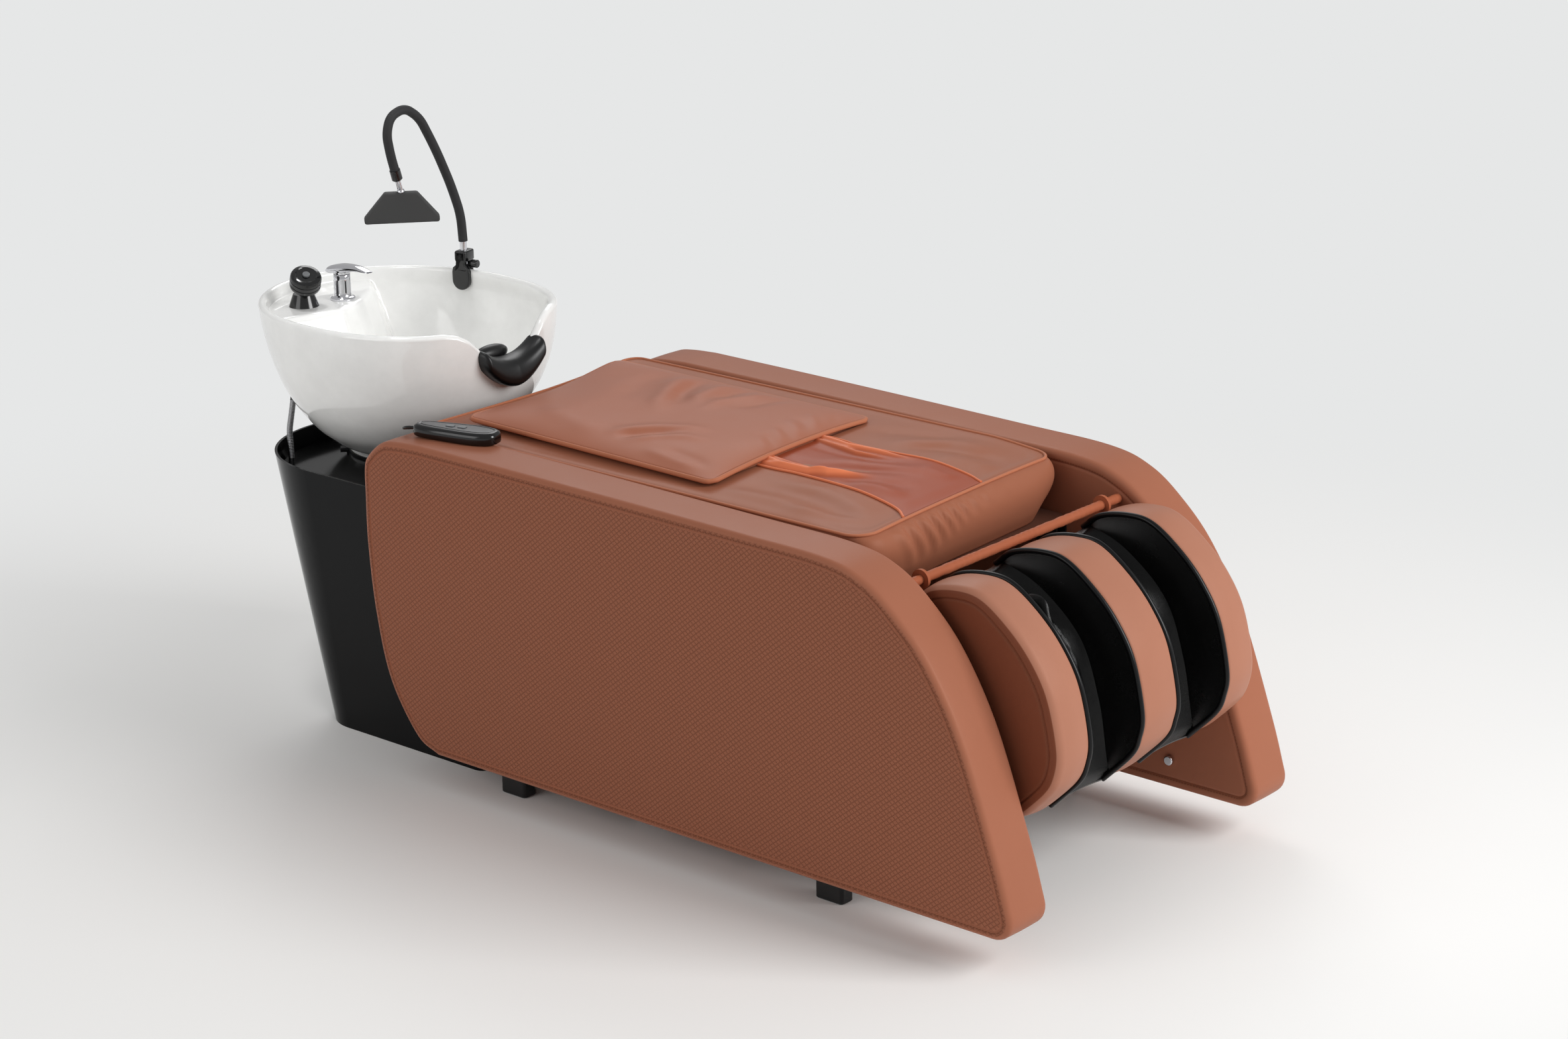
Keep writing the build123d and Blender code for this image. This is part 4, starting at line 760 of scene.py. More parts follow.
def start_material(name: str) -> tuple[bpy.types.Material, Sockets, bpy.types.Node, bpy.types.NodeOutputs]:
    """Start a node material.

    Args:
        name: its name.

    Returns:
        The material, a helper for its tree, its main shader and the piece's own coordinates.
    """
    material = bpy.data.materials.new(name)
    material.use_nodes = True
    helper = Sockets(material.node_tree)
    return material, helper, material.node_tree.nodes["Principled BSDF"], helper.add("ShaderNodeTexCoord").outputs


class Finishes:
    """Every finish of the bed, made once."""

    BROWN, DEEP = rgb(160, 102, 79), rgb(152, 95, 72)
    PANEL = Leather("panel_leather", BROWN, DEEP, cover=Cover.EMBOSSED, second=rgb(146, 91, 69))
    # painted shade: the ribs' outer side faces sit in the dark gap beside the panels and take the dark second tone;
    # the ribs carry no emboss
    RIB = Leather("rib_leather", rgb(168, 116, 95), rgb(160, 108, 87), cover=Cover.EMBOSSED, second=rgb(104, 50, 30),
                  emboss=0.0, lines=0.0, side_from=0.2768)

    def __init__(self) -> None:
        """Make the shared effects and the materials."""
        effects = self.effects = Effects()
        self.brown = Leather("brown_leather", rgb(157, 99, 75), rgb(148, 91, 68)).make(effects)
        self.pad = Leather("pad_leather", rgb(168, 106, 82), rgb(160, 98, 75)).make(effects)
        self.middle_rib = Leather("middle_rib_leather", rgb(166, 114, 93), rgb(158, 106, 85)).make(effects)
        self.piping = Leather("piping_leather", rgb(184, 116, 86), rgb(170, 104, 76)).make(effects)
        self.bar = Leather("bar_leather", rgb(170, 98, 68), rgb(156, 86, 60)).make(effects)
        # painted highlight: the fold crests turn bright orange
        self.terracotta = Leather("terracotta_leather", rgb(156, 76, 50), rgb(149, 71, 46), roughness=0.38,
                                  cover=Cover.CRESTED, second=rgb(226, 128, 88)).make(effects)
        self.orange = Leather("orange_piping", rgb(226, 132, 92), rgb(216, 118, 80), roughness=0.38).make(effects)
        self.satin = Satin("black_satin", rgb(6, 6, 6), 0.26).make(effects)
        self.binding = Polish("black_binding", rgb(8, 8, 9), 0.3, texture=0.0001, specular=0.25).make(effects)
        self.grey_trim = Polish("grey_trim", rgb(70, 68, 66), 0.4, texture=0.0001).make(effects)
        self.gloss_black = Polish("pedestal_gloss", rgb(5, 5, 6), 0.12, specular=0.15).make(effects)
        self.glaze = Polish("basin_glaze", rgb(235, 235, 233), 0.09, coat=0.4, spread=0.03).make(effects)
        self.chrome = Polish("chrome", rgb(214, 214, 218), 0.08, metallic=1.0).make(effects)
        self.steel = Polish("hose_steel", rgb(158, 158, 160), 0.24, metallic=1.0).make(effects)
        self.rubber = Polish("black_rubber", rgb(10, 10, 11), 0.34, texture=0.00008, specular=0.4).make(effects)
        self.foam = Polish("sleeve_foam", rgb(27, 27, 29), 0.7, texture=0.0005, texture_size=500.0).make(effects)
        self.matte_black = Polish("matte_black", rgb(20, 20, 22), 0.45, texture=0.00012, specular=0.3).make(effects)
        self.shine_black = Polish("shiny_black", rgb(11, 11, 12), 0.16, coat=0.2).make(effects)
        self.handset = Polish("handset_plastic", rgb(11, 11, 12), 0.14, top=rgb(60, 60, 62)).make(effects)
        self.grey = Polish("key_grey", rgb(92, 94, 96), 0.45, texture=0.0001).make(effects)
        self.white = Polish("white_plastic", rgb(226, 226, 224), 0.4, texture=0.00008).make(effects)
        self.paint = Polish("frame_paint", rgb(24, 24, 26), 0.45, texture=0.00015, texture_size=300.0).make(effects)
        self.ply = Polish("seat_board", rgb(92, 56, 42), 0.6, texture=0.0002, texture_size=120.0).make(effects)

    def sewn(self, base: Leather, rows: tuple[float, ...]) -> bpy.types.Material:
        """Make a leather that carries stitch rows at places across a piece's map.

        Args:
            base: the leather.
            rows: lengths across the map at which the rows run.

        Returns:
            The material.
        """
        return replace(base, stitches=rows).make(self.effects)


@dataclass
class Studio:
    """Camera, floor and lights of the photograph's view."""

    camera_target: Point3 = (0.2174, 0.0, 0.5078)
    camera_distance: float = 6.1559
    azimuth: float = 40.617
    elevation: float = 18.011
    roll: float = -0.728
    lens: float = 80.65
    sensor: float = 36.0
    floor_span: float = 80.0
    floor_colour: Colour = rgb(251, 250, 248)
    far_colour: Colour = rgb(230, 231, 231)
    near_reach: float = 0.8
    far_reach: float = 2.9
    world_strength: float = 0.46

    def build(self) -> None:
        """Build the camera, floor, world and lamps."""
        self._camera()
        self._floor()
        self._world()
        self._lamp("key_softbox", (4.6, 1.25, 2.95), (0.2, 0.0, 0.4), 2.6, 200.0)
        self._lamp("front_fill", (-1.3, -5.2, 2.4), (0.0, 0.0, 0.4), 3.2, 64.0)
        self._lamp("rear_softbox", (-2.8, 3.0, 3.6), (-0.4, 0.0, 0.5), 2.2, 44.0)
        self._lamp("basin_spot", (-0.80, -0.35, 2.5), (-0.72, 0.02, 0.6), 0.4, 0.33, spread=21.0)
        bpy.context.scene.view_settings.view_transform = "Standard"

    def _camera(self) -> None:
        """Set the camera to the photograph's fitted view."""
        a, e, r = (math.radians(v) for v in (self.azimuth, self.elevation, self.roll))
        back = Vector((math.sin(a) * math.cos(e), -math.cos(a) * math.cos(e), math.sin(e)))
        right = Vector((math.cos(a), math.sin(a), 0))
        up = back.cross(right)
        turned_right = math.cos(r) * right + math.sin(r) * up
        turned_up = math.cos(r) * up - math.sin(r) * right
        data = bpy.data.cameras.new("photo_camera")
        data.lens, data.sensor_width, data.clip_end = self.lens, self.sensor, 100.0
        camera = Bench.put("photo_camera", data)
        turn = Matrix((turned_right, turned_up, back)).transposed().to_4x4()
        at = Vector(self.camera_target) + back * self.camera_distance
        camera.matrix_world = Matrix.Translation(at) @ turn
        bpy.context.scene.camera = camera

    def _floor(self) -> None:
        """Lay the pale floor, which fades to the pale background far from the bed."""
        Bench.clear()
        bpy.ops.mesh.primitive_plane_add(size=self.floor_span, location=(0, 0, 0))
        floor = bpy.context.object
        floor.name = "studio_floor"
        material, s, shader, place = start_material("studio_floor")
        cloud = s.add("ShaderNodeTexNoise", {"Vector": place["Object"], "Scale": 0.9, "Detail": 3.0})
        s.feed(shader, {"Base Color": s.blend(cloud.outputs[0], toned(self.floor_colour, 0.97), self.floor_colour),
                        "Roughness": 0.5, "Specular IOR Level": 0.4})
        away = s.add("ShaderNodeVectorMath", {0: place["Object"]}, operation="LENGTH")
        fade = s.add("ShaderNodeMapRange", {"Value": away.outputs["Value"], "From Min": self.near_reach,
                                            "From Max": self.far_reach}, interpolation_type="SMOOTHSTEP")
        path = s.add("ShaderNodeLightPath")
        seen = s.work("MAXIMUM", path.outputs["Is Camera Ray"], s.work(
            "MAXIMUM", path.outputs["Is Glossy Ray"], path.outputs["Is Transmission Ray"]))
        glow = s.add("ShaderNodeEmission", {"Color": self.far_colour, "Strength": 1.0})
        mixer = s.add("ShaderNodeMixShader", {0: s.work("MULTIPLY", fade.outputs[0], seen), 1: shader.outputs[0],
                                              2: glow.outputs[0]})
        s.feed(s.tree.nodes["Material Output"], {"Surface": mixer.outputs[0]})
        floor.data.materials.append(material)

    def _world(self) -> None:
        """Light the scene evenly from all round."""
        world = bpy.data.worlds.new("studio_world")
        bpy.context.scene.world = world
        world.use_nodes = True
        Sockets(world.node_tree).feed(world.node_tree.nodes["Background"],
                                      {0: (1.0, 1.0, 1.0, 1.0), 1: self.world_strength})

    @staticmethod
    def _lamp(name: str, at: Point3, aim: Point3, size: float, power: float, spread: float = 180.0) -> None:
        """Hang one softbox.

        Args:
            name: the lamp's name.
            at: where it hangs.
            aim: the point it faces.
            size: its side length.
            power: its power in watts.
            spread: angle in degrees that its light fans out to.
        """
        data = bpy.data.lights.new(name, "AREA")
        data.shape, data.size, data.energy = "SQUARE", size, power
        data.spread = math.radians(spread)
        lamp = Bench.put(name, data)
        lamp.location = at
        lamp.rotation_mode = "QUATERNION"
        lamp.rotation_quaternion = (Vector(aim) - Vector(at)).to_track_quat("-Z", "Y")


class Slab:
    """Upholstered slab: a flat outline given thickness, round arrises and seams."""

    def __init__(self, outline: Sequence[Vector], section: Sequence[Point2], start: float, side: int = 1) -> None:
        """Keep the outline and place the section.

        Args:
            outline: evenly spaced points of the closed outline, as length and height.
            section: pairs of inset and side place, from the first face to the second.
            start: where the first face stands, away from the bed's middle.
            side: 1 for the left side or -1 for the right.
        """
        self.outline = list(outline)
        self.normals = inward(outline)
        self.section = [(inset, side * (start + across)) for inset, across in section]
        self.lengths = [0.0]
        for a, b in zip(self.section, self.section[1:]):
            self.lengths.append(self.lengths[-1] + math.dist(a, b))

    def ring_length(self) -> float:
        """Length round the outline."""
        return sum((b - a).length for a, b in zip(self.outline, [*self.outline[1:], self.outline[0]]))

    def map_place(self, inset: float, outer: bool) -> float:
        """Place across the cover's map of a line at an inset on one face.

        Args:
            inset: the line's distance from the outline.
            outer: whether it lies on the second face.

        Returns:
            The length along the section.
        """
        half = len(self.section) // 2
        rows = range(half, len(self.section)) if outer else range(half)
        best = min(rows, key=lambda row: abs(self.section[row][0] - inset))
        return self.lengths[best] + (inset - self.section[best][0]) * (1 if outer else -1)

    def make(self, name: str) -> bpy.types.Object:
        """Make the slab's cover, with its map in metres."""
        rows = len(self.section) - 1

        def place(u: float, v: float) -> Vector:
            at = round(u * len(self.outline)) % len(self.outline)
            inset, side = self.section[min(rows, round(v * rows))]
            spot = self.outline[at] + self.normals[at] * inset
            return Vector((spot.x, side, spot.y))

        obj = Bench.woven(name, len(self.outline), rows, place, span=(self.ring_length(), 1.0))
        for loop in obj.data.uv_layers.active.data:
            loop.uv[1] = self.lengths[min(rows, max(0, round(loop.uv[1] * rows)))]
        return obj


def slab_section(thick: float, arris: Point2, seams: tuple[float | None, float | None], depth: float,
                 swell: float = 0.0) -> list[Point2]:
    """Section of an upholstered slab from its inner to its outer face.

    Args:
        thick: the slab's thickness.
        arris: radii of the inner and the outer arris.
        seams: distance of each face's seam from the outline, or None.
        depth: depth of the seams' furrows.
        swell: how far the edge strip swells.

    Returns:
        Pairs of inset and side place, starting on the inner face at side 0.
    """
    faces = []
    for radius, seam in zip(arris, seams):
        face = [(radius + 0.006, 0.0), (radius + 0.002, 0.0)]
        if seam is not None:
            face = [(seam + 0.0115, 0.0), (seam + 0.008, 0.0), (seam + 0.005, 0.0), (seam + 0.0028, 0.0002),
                    (seam + 0.0012, depth * 0.55), (seam, depth), (seam - 0.0012, depth * 0.5),
                    (seam - 0.0024, 0.0), (seam - 0.0040, -0.0002)]
        turns = [math.pi / 2 * step / 7 for step in range(8)]
        face += [(radius * (1 - math.sin(turn)), radius * (1 - math.cos(turn))) for turn in turns]
        faces.append(face)
    strip = []
    for step in range(1, 8):
        share = step / 8
        side = arris[0] + (thick - arris[0] - arris[1]) * share
        strip.append((-swell * math.sin(math.pi * share), side))
    outer = [(inset, thick - side) for inset, side in reversed(faces[1])]
    return faces[0] + strip + outer


@dataclass
class SidePanel:
    """One of the two upholstered side panels."""

    rear_x: float = -0.427
    length: float = 1.442
    low_z: float = 0.065
    height: float = 0.577
    inner_y: float = 0.2975
    thick: float = 0.1023
    arris: Point2 = (0.012, 0.0115)
    seams: tuple[float, float] = (0.020, 0.0165)
    stitches: tuple[float, float] = (0.0165, 0.0129)
    seam_depth: float = 0.0019
    swell: float = 0.0006
    corners: int = 560
    toe_radius: float = 0.036
    toe_lean: float = 16.8
    front: Sequence[Point2] = ((0.979, 0.24), (0.933, 0.546), (0.887, 0.744), (0.841, 0.865), (0.795, 0.943),
                               (0.735, 0.979), (0.6, 0.9865), (0.3, 0.9965), (0.098, 1.0))
    rear: Sequence[Point2] = ((0.098, 1.0), (0.058, 0.9935), (0.032, 0.979), (0.009, 0.932), (0.001, 0.891),
                              (0.0, 0.8), (0.0, 0.64), (0.009, 0.419), (0.03, 0.208), (0.0735, 0.045),
                              (0.11, 0.0))

    def outline(self) -> list[Vector]:
        """Evenly spaced outline of the panel, as length and height."""
        centre = Vector((self.rear_x + self.length - self.toe_radius, self.low_z + self.toe_radius))
        toe = []
        for step in range(13):
            turn = math.radians(-90 + (90 + self.toe_lean) * step / 12)
            toe.append(centre + self.toe_radius * Vector((math.cos(turn), math.sin(turn))))
        runs = [[(self.rear_x + self.length * x, self.low_z + self.height * z) for x, z in run]
                for run in (self.front, self.rear)]
        line = toe[:-1] + through([tuple(toe[-1]), *runs[0]])[:-1] + through(runs[1])
        return even(line, self.corners)

    def build(self, finishes: Finishes) -> None:
        """Build both panels."""
        section = slab_section(self.thick, self.arris, self.seams, self.seam_depth, self.swell)
        outline = self.outline()
        for side, name in SIDES:
            slab = Slab(outline, section, self.inner_y, side)
            rows = (slab.map_place(self.stitches[0], False), slab.map_place(self.stitches[1], True))
            cover = slab.make(f"{name}_panel_cover")
            Bench.hand_over(cover, "bed", "embossed_leather", finishes.sewn(Finishes.PANEL, rows),
                            (f"{name}_panel", f"{name}_outer_cover"), angle=50)


@dataclass
class SeatCushion:
    """Seat cushion with its crowned top, rolled front and welt."""

    rear_x: float = -0.398
    welt_x: float = 0.6085
    welt_skew: float = 0.058
    board_z: float = 0.5235
    crown_z: float = 0.642
    edge_z: float = 0.6285
    far_edge_z: float = 0.6385
    top_half: float = 0.281
    welt_corner: float = 0.038
    low_spread: float = 0.008
    low_setback: float = -0.002
    low_corner: float = 0.105
    rear_corner: float = 0.03
    crown_power: float = 2.2
    nose_reach: float = 0.14
    nose_fall: float = 0.009
    tail: Point2 = (-0.20, -0.385)
    tail_fall: float = 0.017
    level_reach: float = 0.16
    tuck: float = 0.0026
    furrow: float = 0.0022
    shoulder: float = 0.0012
    welt_out: float = 0.0006
    welt_radius: float = 0.0030
    side_bulge: float = 0.003
    nose_bulge: float = 0.021
    columns: int = 520
    skirt_rows: int = 30
    top_rows: int = 74
    folds: Sequence[Fold] = (
        Fold(((0.271, -0.195), (0.371, -0.176), (0.483, -0.185), (0.594, -0.24)), 0.0270, -0.0042),
        Fold(((0.30, -0.160), (0.429, -0.150), (0.538, -0.180), (0.605, -0.225)), 0.0243, 0.0038),
        Fold(((0.24, -0.235), (0.40, -0.225), (0.55, -0.262)), 0.0216, 0.0034),
        Fold(((0.42, -0.235), (0.52, -0.232), (0.60, -0.21)), 0.0162, 0.0027),
        Fold(((0.331, 0.112), (0.376, 0.157), (0.437, 0.205), (0.54, 0.215)), 0.0243, 0.0042),
        Fold(((0.37, 0.125), (0.447, 0.165), (0.514, 0.180), (0.585, 0.178)), 0.0203, -0.0037),
        Fold(((0.25, 0.16), (0.33, 0.20), (0.45, 0.245)), 0.0243, -0.0032),
        Fold(((0.45, 0.115), (0.53, 0.135), (0.60, 0.13)), 0.0216, 0.0026),
        Fold(((-0.24, -0.255), (0.0, -0.25), (0.2, -0.255)), 0.0175, -0.0024))
    # each gather of the nose: side place, width, height and how far down it runs
    gathers: Sequence[tuple[float, float, float, float]] = (
        (-0.205, 0.012, 0.0060, 0.9), (-0.186, 0.009, -0.0045, 0.8), (-0.168, 0.009, 0.0050, 0.75),
        (-0.150, 0.007, -0.0050, 0.7), (-0.133, 0.008, 0.0060, 0.8), (-0.117, 0.006, -0.0055, 0.62),
        (-0.102, 0.007, 0.0060, 0.62), (-0.088, 0.005, -0.0055, 0.55), (-0.074, 0.006, 0.0060, 0.55),
        (-0.060, 0.005, -0.0050, 0.5), (-0.046, 0.005, 0.0050, 0.5), (-0.033, 0.005, -0.0045, 0.42),
        (-0.019, 0.005, 0.0042, 0.42), (-0.004, 0.006, -0.0035, 0.36), (0.012, 0.006, 0.0034, 0.36),
        (0.031, 0.007, -0.0028, 0.3), (0.050, 0.007, 0.0026, 0.3), (0.078, 0.009, -0.0020, 0.25),
        (0.105, 0.010, 0.0018, 0.25))

    def front(self, y: float) -> float:
        """Length at which the front welt runs, at a place across."""
        return self.welt_x - self.welt_skew * y

    def top(self, x: float, y: float) -> float:
        """Height of the crowned top at a place."""
        side = min(1.0, abs(y) / self.top_half)
        level = self.far_edge_z if y > 0 else self.edge_z
        level += (self.edge_z - level) * smooth_step(self.welt_x - self.level_reach, self.welt_x, x)
        height = self.crown_z - (self.crown_z - level) * side ** self.crown_power
        height -= self.nose_fall * smooth_step(self.welt_x - self.nose_reach, self.welt_x, x) * (1 - side ** 2)
        return height - self.tail_fall * smooth_step(*self.tail, x) * (1 - side ** 2)

    def ring(self, spread: float, setback: float, corner: float) -> list[Vector]:
        """Closed plan outline of the cushion at one level.

        Args:
            spread: how far it stands out at the sides.
            setback: how far it stands back at the front.
            corner: radius of its front corners.

        Returns:
            Evenly spaced points, starting at the rear of the near side.
        """
        half = self.top_half + spread
        flat = []
        for forward, side, start in ((False, -1, 180), (True, -1, 270), (True, 1, 0), (False, 1, 90)):
            radius = corner if forward else self.rear_corner
            y = side * (half - radius)
            x = self.front(y) - setback - radius if forward else self.rear_x + radius
            for step in range(13):
                turn = math.radians(start + 90 * step / 12)
                flat.append(Vector((x + radius * math.cos(turn), y + radius * math.sin(turn))))
        return even(flat, self.columns)

    def build(self, finishes: Finishes) -> None:
        """Build the cushion and its welt."""
        high = self.ring(0.0, 0.0, self.welt_corner)
        low = self.ring(self.low_spread, self.low_setback, self.low_corner)
        outward = [-n for n in inward(high)]
        rows = self.skirt_rows + self.top_rows

        def skirt(at: int, share: float) -> Vector:
            edge, foot, way = high[at], low[at], outward[at]
            nose = smooth_step(0.15, 0.9, way.x)
            swell = (self.side_bulge + self.nose_bulge * nose) * math.sin(math.pi * share ** 0.72)
            tuck = -self.tuck * math.exp(-(share / 0.035) ** 2)
            for y, width, lift, reach in self.gathers:
                lean = y + 0.035 * share
                length = smooth_step(0.0, 0.10, share) * (1 - smooth_step(reach * 0.35, reach, share))
                swell += lift * nose * math.exp(-((edge.y - lean) / width) ** 2) * length
            spot = edge.lerp(foot, share) + way * (swell + tuck)
            top_z = self.top(edge.x, edge.y)
            return Vector((spot.x, spot.y, top_z + (self.board_z - top_z) * share))

        def place(u: float, v: float) -> Vector:
            at, row = round(u * self.columns) % self.columns, round(v * rows)
            if row <= self.skirt_rows:
                return skirt(at, 1 - row / self.skirt_rows)
            share = (row - self.skirt_rows) / self.top_rows
            edge = high[at]
            spine = Vector((min(self.welt_x - 0.2, max(self.rear_x + 0.2, edge.x)), 0.0))
            spot = edge.lerp(spine, share * 0.99)
            furrow = -self.furrow * math.exp(-(share / 0.012) ** 2)
            furrow += self.shoulder * math.exp(-((share - 0.05) / 0.04) ** 2)
            lift = fold_lift(self.folds, spot.x, spot.y) * smooth_step(0.0, 0.10, share)
            return Vector((spot.x, spot.y, self.top(spot.x, spot.y) + furrow + lift))

        cover = Bench.woven("seat_cover", self.columns, rows, place, span=(2.6, 0.5))
        Bench.hand_over(cover, "bed", "brown_leather", finishes.brown, ("seat_cushion",))
        line = [Vector((p.x + way.x * self.welt_out, p.y + way.y * self.welt_out, self.top(p.x, p.y) - 0.0002))
                for p, way in zip(high, outward)]
        welt = Bench.piping("seat_welt", line, self.welt_radius, closed=True)
        Bench.hand_over(welt, "bed", "brown_leather", finishes.piping)


@dataclass
class CentrePanel:
    """Terracotta panel along the middle of the seat, with its bright welts and bunched folds; the crests of some folds
    carry a painted highlight.
    """

    rear_x: float = -0.34
    near: Sequence[Point2] = ((-0.34, -0.108), (0.222, -0.111), (0.344, -0.107), (0.473, -0.115), (0.572, -0.134),
                              (0.616, -0.164))
    far: Sequence[Point2] = ((-0.34, 0.108), (0.219, 0.090), (0.316, 0.080), (0.397, 0.084), (0.466, 0.090),
                             (0.557, 0.081), (0.600, 0.066))
    front_y: float = -0.164
    front_width: float = 0.230
    front_gap: float = 0.0028
    swell: float = 0.0022
    sunk: float = 0.004
    lift: float = 0.0012
    welt_lift: float = 0.0018
    welt_radius: float = 0.0024
    painted_highlight_height: float = 0.0075
    # folds whose crests carry the painted highlight
    bright: Sequence[Fold] = (
        Fold(((0.18, -0.070), (0.228, -0.078), (0.298, -0.094), (0.389, -0.086), (0.47, -0.040)), 0.0085, 0.0085),
        Fold(((0.20, -0.095), (0.27, -0.101), (0.355, -0.097), (0.407, -0.070), (0.461, -0.030)), 0.0060, 0.0060),
        Fold(((0.19, -0.062), (0.24, -0.069), (0.31, -0.078), (0.38, -0.066)), 0.0050, 0.0045),
        Fold(((0.18, 0.086), (0.228, 0.076), (0.321, 0.058), (0.412, 0.066), (0.47, 0.078)), 0.0080, 0.0085),
        Fold(((0.20, 0.064), (0.27, 0.052), (0.35, 0.040), (0.43, 0.050)), 0.0055, 0.0048))
    soft: Sequence[Fold] = (
        Fold(((0.24, -0.048), (0.34, -0.060), (0.44, -0.020), (0.52, 0.01)), 0.0156, -0.0037),
        Fold(((0.24, 0.030), (0.32, 0.022), (0.40, 0.026), (0.48, 0.05)), 0.0156, -0.0034),
        Fold(((0.30, -0.03), (0.40, 0.0), (0.50, 0.03), (0.57, 0.03)), 0.0192, 0.0027),
        Fold(((0.43, -0.10), (0.50, -0.085), (0.57, -0.09)), 0.0168, 0.0030),
        Fold(((0.40, -0.098), (0.47, -0.062), (0.56, -0.045)), 0.0168, -0.0029),
        Fold(((0.47, 0.060), (0.53, 0.045), (0.58, 0.045)), 0.0168, 0.0023))

    def build(self, finishes: Finishes, seat: SeatCushion) -> None:
        """Build the panel and both welts.

        Args:
            finishes: the bed's finishes.
            seat: the cushion that it lies on.
        """
        near, far = through(self.near), through(self.far)
        edges = [([p.x for p in line], [p.y for p in line]) for line in (near, far)]

        def folds(x: float, y: float) -> tuple[float, float]:
            end = 1 - smooth_step(0.555, 0.602, x)
            return fold_lift(self.bright, x, y) * end, fold_lift(self.soft, x, y) * end

        def place(u: float, v: float) -> Vector:
            top = u < 0.5
            share = u * 2 if top else 2 - u * 2
            front = seat.front(self.front_y + self.front_width * share) - self.front_gap
            x = self.rear_x + (front - self.rear_x) * v
            low, high = (table(*edge, x) for edge in edges)
            y = low + (high - low) * share
            pinch = 1 - abs(2 * share - 1) ** 10
            swell = self.swell * pinch * (1 - smooth_step(0.57, 0.612, x))
            base = seat.top(x, y)
            if not top:
                return Vector((x, y, base - self.sunk))
            return Vector((x, y, base + self.lift + swell + sum(folds(x, y)) * pinch))

        panel = Bench.woven("centre_cover", 200, 300, place, span=(0.44, 0.95))
        # painted highlight share: each point's height from the highlit folds, divided by the highlight height
        painted_highlight = panel.data.attributes.new("painted_highlight", "FLOAT", "POINT")
        for spot, vertex in zip(painted_highlight.data, panel.data.vertices):
            spot.value = min(1.0, max(0.0, folds(vertex.co.x, vertex.co.y)[0] / self.painted_highlight_height))
        Bench.hand_over(panel, "bed", "terracotta_leather", finishes.terracotta, ("centre_panel",))
        for name, line in (("near_centre_welt", near), ("far_centre_welt", far)):
            spots = even(line, 160, closed=False)
            run = [Vector((p.x, p.y, seat.top(p.x, p.y) + self.welt_lift)) for p in spots]
            welt = Bench.piping(name, run, self.welt_radius)
            Bench.hand_over(welt, "bed", "terracotta_leather", finishes.orange)


